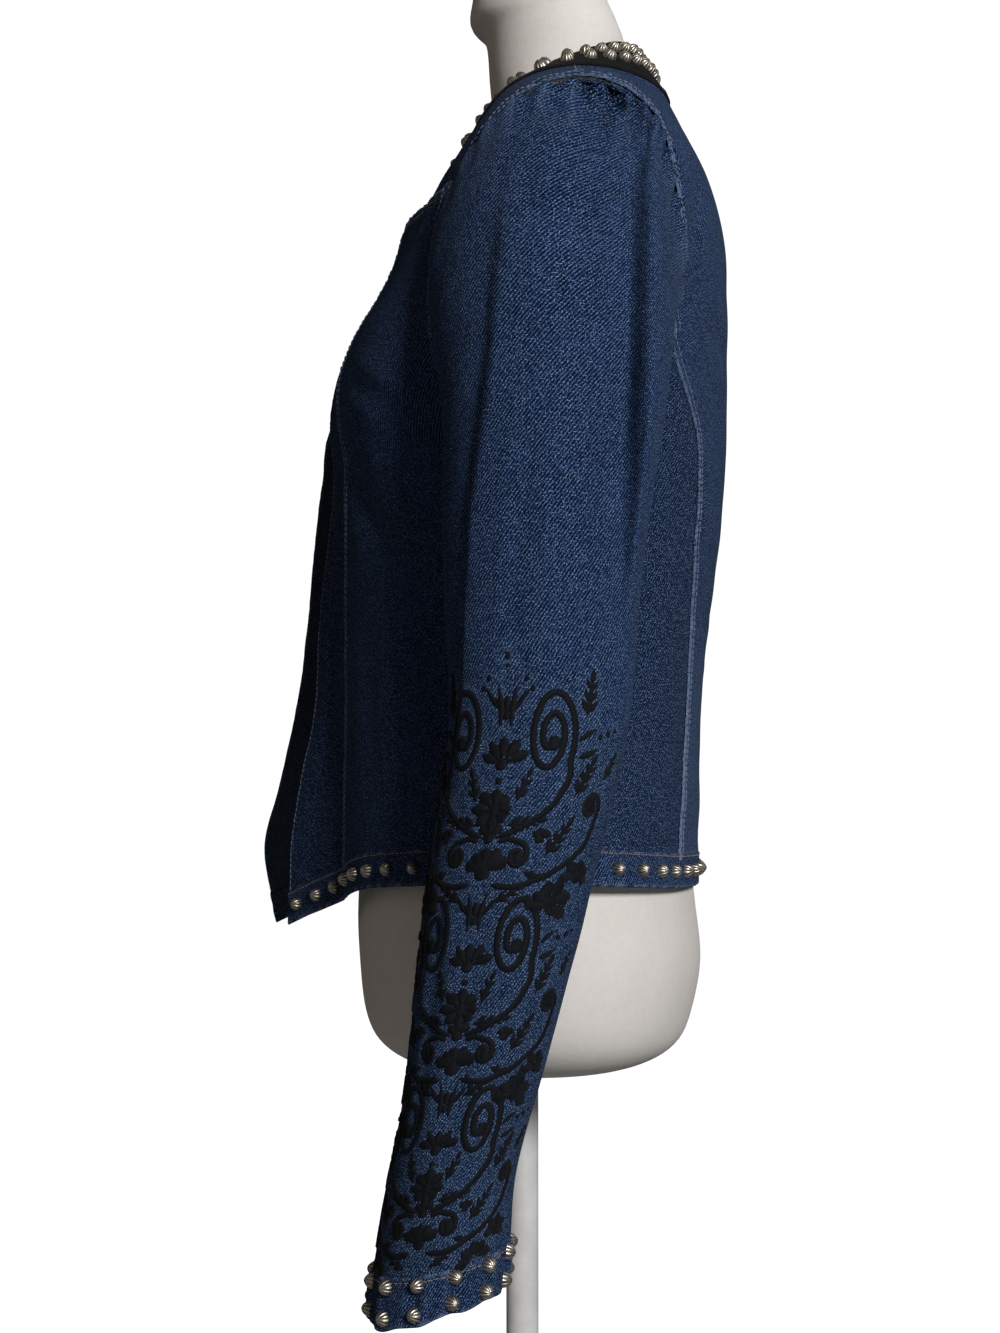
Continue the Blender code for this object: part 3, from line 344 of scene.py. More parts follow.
    def angle_at_x(self, x: Array, z: Array, front: bool) -> Array:
        """Angle of the point of the front or back at a distance from the centre line."""
        half, centre, back, ahead, back_power, front_power = self.sections.at(z)
        if front:
            depth = outline_depth(x, half, centre - ahead, front_power)
            return np.degrees(np.arctan2(x, -depth))
        depth = outline_depth(x, half, back - centre, back_power)
        return np.degrees(np.arctan2(x, depth))

    def angle_at_y(self, y: Array, z: Array) -> Array:
        """Angle of the point of the side at a depth y."""
        half, centre, back, front, back_power, front_power = self.sections.at(z)
        offset = y - centre
        depth = np.where(offset > 0.0, back - centre, centre - front)
        power = np.where(offset > 0.0, back_power, front_power)
        return np.degrees(np.arctan2(outline_depth(offset, depth, half, power), offset))

    def fold(self, angle: Array, z: Array, radius: Array, sides: Array) -> Array:
        """Depth of all the folds and creases at places on the surface."""
        total = np.zeros_like(radius)
        for crease in self.folds:
            run = np.stack([np.radians(crease.across_end - crease.across_top) * radius,
                            np.full_like(radius, crease.end - crease.top)])
            place = np.stack([np.radians(angle - crease.across_top) * radius,
                              z - crease.top])
            share = (place * run).sum(0) / (run * run).sum(0)
            away = np.linalg.norm(place - run * share, axis=0)
            total += np.where(sides == crease.side, crease.relief(share, away), 0.0)
        return total

    def point(self, angle: Array, z: Array, side: int) -> Array:
        """Point of the surface: angle from the back, height, and 1 left or -1 right."""
        angle, z = np.broadcast_arrays(np.asarray(angle, float), np.asarray(z, float))
        row = self.sections.at(z)
        radius = polar(angle, row[0], *self.depth_power(angle, row))
        sides = np.where(angle >= 0.0, side, -side)
        radius = radius - self.fold(np.abs(angle), z, radius, sides)
        x = radius * np.sin(np.radians(angle))
        y = row[1] + radius * np.cos(np.radians(angle))
        seam = self.front_princess_x.one(z)
        edge = self.front_edge_x.one(z)
        reach = self.flare.at(z)[0 if side > 0 else 1]
        share = np.clip((seam - np.abs(x)) / (seam - edge), 0.0, 1.0) ** 1.25
        share = np.where(np.abs(angle) > 90.0, share, 0.0)
        down = self.sag[0 if side > 0 else 1] * share * ease((0.78 - z) / 0.26)
        return np.stack([side * x, y - reach * share, z - down], axis=-1)

    def place(self, angle: Array, z: Array, side: int) -> tuple[Array, Array]:
        """Point of the surface and its outward normal."""
        turn = math.degrees(DIFFERENCE) * 10.0
        around = self.point(angle + turn, z, side) - self.point(angle - turn, z, side)
        upward = self.point(angle, z + DIFFERENCE, side)
        upward = upward - self.point(angle, z - DIFFERENCE, side)
        return self.point(angle, z, side), unit(np.cross(upward, around) * side)

    def armhole(self, turn: Array) -> Array:
        """Angle and height of the armhole: turn 0 shoulder, 90 back, 180 underarm."""
        z = self.armhole_z + self.armhole_half_height * np.cos(np.radians(turn))
        return np.stack([self.angle_at_y(self.armhole_y.one(turn), z), z])

    def armhole_turn(self, z: float, back: bool) -> float:
        """Turn at which the armhole passes a height, on its back or its front."""
        turn = math.degrees(math.acos((z - self.armhole_z) / self.armhole_half_height))
        return turn if back else 360.0 - turn

    def foot(self, angle: Array) -> Array:
        """Height where a panel meets its turned hem."""
        return self.hem_line.one(np.abs(angle)) + self.hem_height

    def seam_foot(self, angle_of: Curve) -> float:
        """Height where a seam given as an angle at a height meets the hem."""
        z = np.array(self.hem_line.values[0, 0] + self.hem_height)
        for _ in range(4):
            z = self.foot(angle_of(z))
        return float(z)

    def foot_line(self, start: float, end: float) -> Curve:
        """Curve along the top of the hem between two angles."""
        def curve(share: Array) -> Array:
            angle = mix(start, end, share)
            return np.stack([angle, self.foot(angle)])
        return curve

    def level_line(self, start: float, end: float, z: float) -> Curve:
        """Curve at one height between two angles."""
        return lambda share: np.stack([mix(start, end, share), np.full_like(share, z)])

    def armhole_height(self, turn: float) -> float:
        """Height of the armhole at one turn."""
        return float(self.armhole(np.array(turn))[1])

    def back_princess(self, z: Array) -> Array:
        """Angle of the back princess seam at a height."""
        return self.angle_at_x(self.back_princess_x.one(z), z, False)

    def front_princess(self, z: Array) -> Array:
        """Angle of the front princess seam at a height."""
        return self.angle_at_x(self.front_princess_x.one(z), z, True)

    def front_edge(self, z: Array) -> Array:
        """Angle of the open front edge at a height."""
        return self.angle_at_x(self.front_edge_x.one(z), z, True)

    def side_seam(self, z: Array) -> Array:
        """Angle of the side seam at a height."""
        return self.angle_at_y(np.full_like(z, self.side_seam_y), z)


def angle_at(seam: Curve, z: float) -> float:
    """Angle of a seam at one height."""
    return float(seam(np.array(z)))


def follow(angle_of: Curve, low: float, high: float) -> Curve:
    """Curve along a seam that is given by its angle at a height."""
    def curve(share: Array) -> Array:
        z = mix(low, high, share)
        return np.stack([angle_of(z), z])
    return curve


def two_part(first: Curve, second: Curve, split: float) -> Curve:
    """One curve made of two that meet at the share called split."""
    def curve(share: Array) -> Array:
        return np.where(share < split, first(share / split),
                        second((share - split) / (1.0 - split)))
    return curve


@dataclass(frozen=True)
class Patch:
    """Angles and heights filled between four curves that meet at their ends."""

    foot: Curve
    head: Curve
    left: Curve
    right: Curve

    def grid(self, across: Array, up: Array) -> Array:
        """Angle and height at each pair of shares, rows going up."""
        u, v = across[None, :], up[:, None]
        ends = np.array([0.0, 1.0])
        left, right = self.left(ends)[..., None, None], self.right(ends)[..., None, None]
        straight = mix(self.foot(across)[:, None, :], self.head(across)[:, None, :], v)
        straight = straight + mix(self.left(up)[..., None], self.right(up)[..., None], u)
        return straight - mix(mix(left[:, 0], right[:, 0], u),
                              mix(left[:, 1], right[:, 1], u), v)


# Sewing ----------------------------------------------------------------------------


class Thread(Enum):
    """Colours of sewing thread."""

    BLUE = "blue"
    TAN = "tan"


class Edge(Enum):
    """Edges of a cloth grid: the first and last column, and the first and last row."""

    LEFT = "left"
    RIGHT = "right"
    FOOT = "foot"
    HEAD = "head"


SEAM_ROLL = 0.0009


@dataclass(frozen=True)
class Seam:
    """How an edge is sewn: its doubled strip, puckers, wear, painted shade along a dipped
    seam, and rows of stitches.
    """

    width: float = 0.0
    rise: float = 0.0
    pucker: float = 0.0
    pitch: float = 0.0075
    worn: float = 0.0
    rows: tuple[float, ...] = ()
    thread: Thread = Thread.BLUE
    rolled: bool = False
    dip: float = 0.0

    def relief(self, away: Array, along: Array, seed: int) -> tuple[Array, Array]:
        """Height and wear near the edge.

        Args:
            away: Distance from the edge.
            along: Distance along the edge.
            seed: Seed of the puckers.

        Returns:
            Height over the plain cloth, and wear from 0 to 1, with painted shade below
            zero where the seam dips.
        """
        strip = 1.0 - ease((away - self.width) / 0.0020 + 0.5) if self.width else 0.0
        wave = ripple(along + 0.6 * away, self.pitch, seed)
        reach = np.exp(-((away - 0.5 * self.width) / (0.9 * self.width + 0.002)) ** 2)
        height = self.rise * strip + self.pucker * wave * reach
        if self.rolled:
            height = height - rolled(away, SEAM_ROLL)
        height = height - self.dip * np.exp(-(away / 0.0011) ** 2)
        rim = np.exp(-((away - 0.0009) / 0.0013) ** 2)
        rims = rim + 0.55 * np.exp(-((away - self.width) / 0.0012) ** 2)
        worn = self.worn * (rims * (0.75 + 0.35 * wave) + 0.30 * strip * (1.0 + wave))
        # Painted shade: a dipped seam takes from the worn value along its line, which
        # darkens the cloth there.
        return height, np.maximum(worn, 0.0) - 0.8 * self.dip / MM * rim


PRINCESS = Seam(0.0066, 0.0008, 0.00030, 0.0072, 0.60, (0.0012, 0.0054), rolled=True)
ARMHOLE = Seam(0.0090, 0.0021, 0.00070, 0.0090, 0.55, (0.0018, 0.0070), rolled=True)
SHOULDER = Seam(0.0100, 0.0006, 0.00030, 0.0085, 0.45, (0.0040,), Thread.TAN, rolled=True)
YOKE_SEAM = Seam(0.0076, 0.0003, 0.00040, 0.0080, 1.00, (0.0014, 0.0062), rolled=True)
OPEN_EDGE = Seam(0.0200, 0.0004, 0.00022, 0.0100, 0.55, (0.0019,), rolled=True)
SLEEVE_SEAM = Seam(0.0070, 0.0007, 0.00030, 0.0080, 0.70, (0.0013, 0.0056), rolled=True)
UNDER = Seam(0.0, 0.0, 0.00018, 0.0075, 0.25, dip=0.00035)
HEM_TOP = Seam(0.0040, 0.0, 0.00030, 0.0090, 0.35)


@dataclass(frozen=True)
class Sewn:
    """A seam on one edge, or on a part of it given as shares of the edge's length."""

    edge: Edge
    seam: Seam
    low: float = -1.0
    high: float = 2.0
    seed: int = 1


@dataclass
class ClothGrid:
    """Cloth as rows and columns of places, before it is made a mesh."""

    points: Array
    side: int
    flip: bool = False
    laid: Array | None = None
    relief: Array = field(init=False)
    # Wear above zero, painted shade below zero.
    worn: Array = field(init=False)
    halo: Array = field(init=False)
    base: Array = field(init=False)
    outward: Array = field(init=False)

    def __post_init__(self) -> None:
        """Starts with plain cloth."""
        self.base = self.points
        self.outward = self.normals()
        self.relief = np.zeros(self.points.shape[:2])
        self.worn = np.zeros(self.points.shape[:2])
        self.halo = np.zeros(self.points.shape[:2])

    def normals(self) -> Array:
        """Outward normals of the grid as it lies."""
        along = np.gradient(self.points, axis=0)
        around = np.gradient(self.points, axis=1)
        return unit(np.cross(along, around) * self.side)

    def away(self, edge: Edge) -> Array:
        """Distance of each place from an edge, along the grid."""
        run = running(self.base, 1 if edge in (Edge.LEFT, Edge.RIGHT) else 0)
        if edge is Edge.RIGHT:
            return run[:, -1:] - run
        return run[-1:] - run if edge is Edge.HEAD else run

    def along(self, edge: Edge) -> Array:
        """Distance of each place along an edge, on the edge itself."""
        if edge in (Edge.LEFT, Edge.RIGHT):
            column = 0 if edge is Edge.LEFT else -1
            return np.broadcast_to(running(self.base, 0)[:, column, None],
                                   self.relief.shape)
        row = 0 if edge is Edge.FOOT else -1
        return np.broadcast_to(running(self.base, 1)[row][None, :], self.relief.shape)

    def sew(self, sewn: Sewn) -> None:
        """Adds a seam's strip, puckers, wear and painted shade."""
        along = self.along(sewn.edge)
        share = along / along.max()
        soft = 0.012
        mask = ease((share - sewn.low) / soft) * ease((sewn.high - share) / soft)
        height, worn = sewn.seam.relief(self.away(sewn.edge), along, sewn.seed)
        self.relief = self.relief + height * mask
        self.worn = self.worn + worn * mask

    def roll(self, radii: dict[Edge, float]) -> None:
        """Rolls edges inwards, each by a radius."""
        for edge, radius in radii.items():
            self.relief -= rolled(self.away(edge), radius)

    def press(self, spots: Array, depth: float, radius: float) -> None:
        """Sinks the cloth round each of the spots."""
        near = np.linalg.norm(self.base[:, :, None] - spots[None, None], axis=-1).min(-1)
        self.relief -= depth * np.exp(-(near / radius) ** 2)

    def rubbed(self) -> tuple[Array, Array]:
        """Wear along the foot and along the head of a turned strip."""
        return (np.exp(-((self.away(Edge.FOOT) - 0.0010) / 0.0012) ** 2),
                np.exp(-((self.away(Edge.HEAD) - 0.0009) / 0.0010) ** 2))

    def shape(self) -> None:
        """Moves the cloth by its relief and works out its normals again."""
        self.points = self.base + self.outward * self.relief[..., None]
        self.outward = self.normals()

    def line(self, edge: Edge, offset: float, low: float = 0.0,
             high: float = 1.0) -> tuple[Array, Array]:
        """Places and normals on a line beside an edge.

        Args:
            edge: The edge that the line follows.
            offset: Distance from the edge.
            low: Share of the edge's length where the line starts.
            high: Share where it ends.

        Returns:
            Points and normals, in order along the line.
        """
        points, outward, away = self.points, self.outward, self.away(edge)
        share = self.along(edge) / self.along(edge).max()
        if edge in (Edge.FOOT, Edge.HEAD):
            points, outward = points.swapaxes(0, 1), outward.swapaxes(0, 1)
            away, share = away.T, share.T
        share = share[:, 0]
        order = slice(None, None, -1) if edge in (Edge.RIGHT, Edge.HEAD) else slice(None)
        columns = np.arange(away.shape[1], dtype=float)[order]
        found = np.array([np.interp(offset, row[order], columns) for row in away])
        rows = np.arange(len(found), dtype=float)
        keep = (share >= low) & (share <= high)
        return (between(points, rows[keep], found[keep]),
                between(outward, rows[keep], found[keep]))

    def flat_places(self) -> Array:
        """Places of the cloth laid flat, in metres: across and up."""
        if self.laid is not None:
            return self.laid
        up = running(self.base, 0)
        step, climb = np.diff(running(self.base, 1), axis=1), np.diff(up, axis=1)
        level = np.sqrt(np.maximum(step ** 2 - climb ** 2, (0.25 * step) ** 2))
        run = np.concatenate([np.zeros((len(up), 1)), np.cumsum(level, axis=1)], axis=1)
        across = run - run[:, [run.shape[1] // 2]]
        return np.stack([across * (-1.0 if self.flip else 1.0), up], axis=-1)


def set_values(mesh: bpy.types.Mesh, name: str, values: Array) -> None:
    """Keeps one number for each vertex under a name."""
    layer = mesh.attributes.new(name, "FLOAT", "POINT")
    layer.data.foreach_set("value", np.ascontiguousarray(values, np.float32))


def mesh_from(bm: bmesh.types.BMesh, name: str) -> bpy.types.Mesh:
    """Mesh of what is in a bmesh, which is freed."""
    mesh = bpy.data.meshes.new(name)
    bm.to_mesh(mesh)
    bm.free()
    return mesh


def added(name: str, data: bpy.types.ID) -> bpy.types.Object:
    """Object with its data, linked to the scene."""
    made = bpy.data.objects.new(name, data)
    bpy.context.scene.collection.objects.link(made)
    return made


def finish_mesh(mesh: bpy.types.Mesh, material: bpy.types.Material,
                sharp: float = SHARP_ANGLE) -> bpy.types.Object:
    """Object with a mesh, smooth but for its sharp edges, riding on the frame."""
    mesh.shade_smooth()
    mesh.set_sharp_from_angle(angle=sharp)
    mesh.materials.append(material)
    made = added(mesh.name, mesh)
    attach(made, BODY)
    LOG.info("made %s with %d faces", mesh.name, len(mesh.polygons))
    return made


def dress(made: bpy.types.Object, slot: str, *nodes: str) -> bpy.types.Object:
    """Hides the nodes that a piece stands for, and gives the piece back."""
    if nodes:
        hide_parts(*nodes)
    return made


def cut_cloth(name: str, grid: ClothGrid, thickness: float,
              material: bpy.types.Material, closed: bool = False) -> bpy.types.Object:
    """Thin wall from a cloth grid.

    Args:
        name: Name of the piece.
        grid: Its places, normals, and its wear with painted shade.
        thickness: Thickness of the wall, which grows inwards.
        material: Its finish.
        closed: Whether the last column meets the first, as on a tube.

    Returns:
        The piece.
    """
    rows, columns = grid.points.shape[:2]
    bm = bmesh.new()
    bmesh.ops.create_grid(bm, x_segments=columns - 1, y_segments=rows - 1, size=0.5)
    extruded = bmesh.ops.extrude_face_region(bm, geom=list(bm.faces))["geom"]
    inner = [item for item in extruded if isinstance(item, bmesh.types.BMVert)]
    bmesh.ops.translate(bm, vec=(0.0, 0.0, -1.0), verts=inner)
    bmesh.ops.recalc_face_normals(bm, faces=bm.faces)
    if closed:
        ends = [face for face in bm.faces
                if all(abs(abs(vert.co.x) - 0.5) < 1e-6 for vert in face.verts)]
        bmesh.ops.delete(bm, geom=ends, context="FACES")
    mesh = mesh_from(bm, name)
    flat = np.zeros(len(mesh.vertices) * 3, np.float32)
    mesh.vertices.foreach_get("co", flat)
    flat = flat.reshape(-1, 3)
    column = np.rint((flat[:, 0] + 0.5) * (columns - 1)).astype(int)
    row = np.rint((flat[:, 1] + 0.5) * (rows - 1)).astype(int)
    inside = flat[:, 2] < -0.5
    places = grid.points[row, column] - grid.outward[row, column] * (
        np.where(inside, thickness, 0.0)[:, None])
    mesh.vertices.foreach_set("co", np.ascontiguousarray(places.ravel(), np.float32))
    corners = np.zeros(len(mesh.loops), int)
    mesh.loops.foreach_get("vertex_index", corners)
    laid = grid.flat_places()[row, column]
    layer = mesh.uv_layers.new(name="cloth")
    layer.data.foreach_set("uv", np.ascontiguousarray(laid[corners].ravel(), np.float32))
    # The worn value is wear above zero and painted shade below zero.
    set_values(mesh, "worn", grid.worn[row, column])
    set_values(mesh, "halo", grid.halo[row, column])
    set_values(mesh, "inside", inside.astype(float))
    if grid.side > 0:
        mesh.flip_normals()
    if closed:
        bm = bmesh.new()
        bm.from_mesh(mesh)
        bmesh.ops.remove_doubles(bm, verts=bm.verts, dist=1e-5)
        bm.to_mesh(mesh)
        bm.free()
    return finish_mesh(mesh, material)


def facing(point: Array, along: Array, outward: Array, size: Vector) -> Matrix:
    """Placing of a small piece: X along, Z outward, scaled by size.

    Args:
        point: Where its origin goes.
        along: Direction of its X axis.
        outward: Direction of its Z axis.
        size: Scale along its three axes.

    Returns:
        The matrix.
    """
    up = Vector(outward).normalized()
    ahead = Vector(along)
    ahead = (ahead - up * ahead.dot(up)).normalized()
    across = up.cross(ahead)
    turn = Matrix((ahead, across, up)).transposed().to_4x4()
    return Matrix.Translation(Vector(point)) @ turn @ Matrix.Diagonal((*size, 1.0))


def copies(name: str, template: bpy.types.Mesh, places: Sequence[Matrix],
           material: bpy.types.Material) -> bpy.types.Object:
    """One piece made of many copies of a small mesh."""
    bm = bmesh.new()
    for place in places:
        copy = template.copy()
        copy.transform(place)
        bm.from_mesh(copy)
        bpy.data.meshes.remove(copy)
    return finish_mesh(mesh_from(bm, name), material, math.radians(80.0))


@dataclass
class Stitcher:
    """Collects lines of stitches and sews them as small raised threads."""

    pitch: float = 0.0033
    length: float = 0.0027
    breadth: float = 0.00062
    height: float = 0.00036
    reach: float = 0.0008      # how far on each side of a stitch its direction is read
    bare: float = 0.004        # share of an edge left without stitches at each end
    places: dict[Thread, list[Matrix]] = field(
        default_factory=lambda: {thread: [] for thread in Thread})

    def sew(self, points: Array, outward: Array, thread: Thread) -> None:
        """Lays a row of stitches along a line of places.

        Args:
            points: Places along the line.
            outward: Normals there.
            thread: Colour of the thread.
        """
        if len(points) < 2:
            return
        run = running(points[None], 1)[0]
        count = int(run[-1] / self.pitch)
        for centre in (np.arange(count) + 0.5) * run[-1] / max(count, 1):
            at = np.array([centre - self.reach, centre, centre + self.reach])
            spots = np.stack([np.interp(at, run, points[:, k]) for k in range(3)], -1)
            normal = np.array([np.interp(centre, run, outward[:, k]) for k in range(3)])
            self.places[thread].append(facing(
                spots[1] + normal * 0.5 * self.height, spots[2] - spots[0], normal,
                Vector((self.length / 2.0, self.breadth / 2.0, self.height))))

    def sew_edge(self, grid: ClothGrid, sewn: Sewn) -> None:
        """Lays the rows of stitches of a seam on a cloth grid."""
        low, high = max(sewn.low, self.bare), min(sewn.high, 1.0 - self.bare)
        for offset in sewn.seam.rows:
            self.sew(*grid.line(sewn.edge, offset, low, high), sewn.seam.thread)

    def build(self, name: str, finishes: "Finishes") -> list[bpy.types.Object]:
        """Makes one piece for each colour of thread that was used."""
        bm = bmesh.new()
        bmesh.ops.create_uvsphere(bm, u_segments=5, v_segments=4, radius=1.0,
                                  matrix=Matrix.Rotation(math.pi / 2.0, 4, "Y"))
        template = mesh_from(bm, name)
        made = []
        for thread, places in self.places.items():
            if places:
                piece = copies(f"{name}_{thread.value}", template, places,
                               finishes.thread[thread])
                made.append(dress(piece, "denim"))
        bpy.data.meshes.remove(template)
        return made


@dataclass
class StudSetter:
    """Fluted dome studs."""

    radius: float = 0.0041
    height: float = 0.0046
    flutes: int = 10
    steps: int = 4
    rings: int = 6
    depth: float = 0.17
    template: bpy.types.Mesh | None = None

    def prepare(self) -> None:
        """Makes the mesh of one stud, with its hollows marked."""
        bm = bmesh.new()
        bmesh.ops.create_uvsphere(bm, u_segments=self.flutes * self.steps,
                                  v_segments=2 * self.rings, radius=1.0)
        low = [vert for vert in bm.verts if vert.co.z < -0.2]
        bmesh.ops.delete(bm, geom=low, context="VERTS")
        hollow = bm.verts.layers.float.new("hollow")
        for vert in bm.verts:
            turn = math.atan2(vert.co.y, vert.co.x)
            share = min(math.hypot(vert.co.x, vert.co.y), 1.0)
            wave = 0.5 - 0.5 * math.cos(self.flutes * turn)
            cut = wave ** 1.5 * min(share * 1.6, 1.0)
            vert[hollow] = cut
            swell = 1.0 - self.depth * cut
            rise = vert.co.z if vert.co.z > 0 else vert.co.z * 0.4
            vert.co = Vector((vert.co.x * swell * self.radius,
                              vert.co.y * swell * self.radius,
                              (rise + 0.08 * (1.0 - share) ** 2) * self.height
                              * (1.0 - 0.5 * self.depth * cut)))
        edges = [edge for edge in bm.edges if edge.is_boundary]
        bmesh.ops.holes_fill(bm, edges=edges, sides=0)
        bmesh.ops.recalc_face_normals(bm, faces=bm.faces)
        self.template = mesh_from(bm, "stud")

    def place(self, point: Array, outward: Array, turn: float) -> Matrix:
        """Placing of one stud on a surface, turned about its own axis."""
        up = Vector(outward).normalized()
        side = Vector((0.0, 0.0, 1.0)).cross(up)
        ahead = Matrix.Rotation(turn, 3, up) @ side
        return facing(point, ahead, up, Vector((1.0, 1.0, 1.0)))

    def build(self, name: str, points: Array, outward: Array,
              finishes: "Finishes") -> bpy.types.Object:
        """Sets a stud at each place."""
        turns = np.random.default_rng(len(points)).uniform(0.0, math.pi, len(points))
        places = [self.place(*each) for each in zip(points, outward, turns)]
        return copies(name, self.template, places, finishes.metal)


# Finishes --------------------------------------------------------------------------


class Value:
    """A shader socket that Python arithmetic works on through Math nodes."""

    def __init__(self, shop: "Shader", socket: bpy.types.NodeSocket) -> None:
        """Keeps the shader and the socket."""
        self.shop = shop
        self.socket = socket

    def _math(self, operation: str, first: Any, second: Any = 0.0) -> "Value":
        """Result of a Math node on two values."""
        node = self.shop.node("ShaderNodeMath", {"operation": operation},
                              {0: first, 1: second})
        return Value(self.shop, node.outputs[0])

    def __add__(self, other: Any) -> "Value":
        """Sum."""
        return self._math("ADD", self, other)

    __radd__ = __add__

    def __sub__(self, other: Any) -> "Value":
        """Difference."""
        return self._math("SUBTRACT", self, other)

    def __mul__(self, other: Any) -> "Value":
        """Product."""
        return self._math("MULTIPLY", self, other)

    __rmul__ = __mul__

    def sine(self) -> "Value":
        """Sine."""
        return self._math("SINE", self)

    def most(self, other: Any) -> "Value":
        """The larger of two."""
        return self._math("MAXIMUM", self, other)

    def band(self, low: float, high: float) -> "Value":
        """0 below low, 1 above high, and smooth between."""
        node = self.shop.node("ShaderNodeMapRange", {"interpolation_type": "SMOOTHSTEP"},
                              {0: self, 1: low, 2: high, 3: 0.0, 4: 1.0})
        return Value(self.shop, node.outputs[0])


Colour = tuple[float, float, float]


class Shader:
    """Material that is put together node by node."""

    def __init__(self, name: str, **constants: Any) -> None:
        """Starts a Principled material with what is the same all over.

        Args:
            name: Name of the material.
            constants: Values of the Principled node's sockets, with _ for a space.
        """
        self.material = bpy.data.materials.new(name)
        self.material.use_nodes = True
        self.tree = self.material.node_tree
        self.principled = self.tree.nodes["Principled BSDF"]
        for key, value in constants.items():
            self.principled.inputs[key.replace("_", " ")].default_value = value

    def node(self, kind: str, settings: dict[str, Any],
             sockets: dict[Any, Any]) -> bpy.types.Node:
        """Any node, with its settings made first and its sockets set or linked."""
        made = self.tree.nodes.new(kind)
        for key, value in settings.items():
            setattr(made, key, value)
        for key, value in sockets.items():
            if isinstance(value, Value):
                value = value.socket
            if isinstance(value, bpy.types.NodeSocket):
                self.tree.links.new(value, made.inputs[key])
            else:
                made.inputs[key].default_value = value
        return made

    def feed(self, key: str, value: Any) -> None:
        """Feeds one socket of the Principled node."""
        socket = value.socket if isinstance(value, Value) else value
        self.tree.links.new(socket, self.principled.inputs[key])

    def attribute(self, name: str) -> Value:
        """Number kept on the mesh under a name."""
        node = self.node("ShaderNodeAttribute", {"attribute_name": name}, {})
        return Value(self, node.outputs["Fac"])

    def cloth_places(self) -> bpy.types.NodeSocket:
        """Places on the flat cloth, in metres."""
        return self.node("ShaderNodeUVMap", {"uv_map": "cloth"}, {}).outputs["UV"]

    def object_places(self) -> bpy.types.NodeSocket:
        """Places in the object's own frame, in metres."""
        return self.node("ShaderNodeTexCoord", {}, {}).outputs["Object"]

    def scaled(self, vector: bpy.types.NodeSocket, size: Colour) -> bpy.types.NodeSocket:
        """A vector multiplied by another."""
        node = self.node("ShaderNodeVectorMath", {"operation": "MULTIPLY"},
                         {0: vector, 1: size})
        return node.outputs["Vector"]

    def parts(self, vector: bpy.types.NodeSocket) -> tuple[Value, Value, Value]:
        """The three parts of a vector."""
        node = self.node("ShaderNodeSeparateXYZ", {}, {0: vector})
        return tuple(Value(self, socket) for socket in node.outputs)

    def noise(self, vector: bpy.types.NodeSocket, scale: float, detail: float = 2.0,
              roughness: float = 0.5) -> Value:
        """Soft noise about 0.5."""
        node = self.node("ShaderNodeTexNoise", {"noise_dimensions": "3D"},
                         {"Vector": vector, "Scale": scale, "Detail": detail,
                          "Roughness": roughness})
        return Value(self, node.outputs[0])

    def weave(self, places: bpy.types.NodeSocket, across: float, along: float,
              detail: float, roughness: float) -> Value:
        """Noise of one scale across the cloth and another along it."""
        return self.noise(self.scaled(places, (across, along, 1.0)), 1.0, detail,
                          roughness)

    def blend(self, share: Any, first: Any, second: Any) -> bpy.types.NodeSocket:
        """Colour between two."""
        first, second = ((*value, 1.0) if isinstance(value, tuple) else value
                         for value in (first, second))
        node = self.node("ShaderNodeMix", {"data_type": "RGBA", "clamp_factor": True},
                         {0: share, 6: first, 7: second})
        return node.outputs[2]

    def bump(self, height: Value, distance: float, strength: float) -> None:
        """Feeds the normal from a height."""
        node = self.node("ShaderNodeBump", {}, {"Height": height, "Distance": distance,
                                                "Strength": strength})
        self.feed("Normal", node.outputs["Normal"])

    def finish(self, colour: Any, roughness: Any, height: Value, distance: float,
               strength: float) -> bpy.types.Material:
        """The material, once its colour, roughness and height are fed in."""
        self.feed("Base Color", colour)
        self.feed("Roughness", roughness)
        self.bump(height, distance, strength)
        return self.material


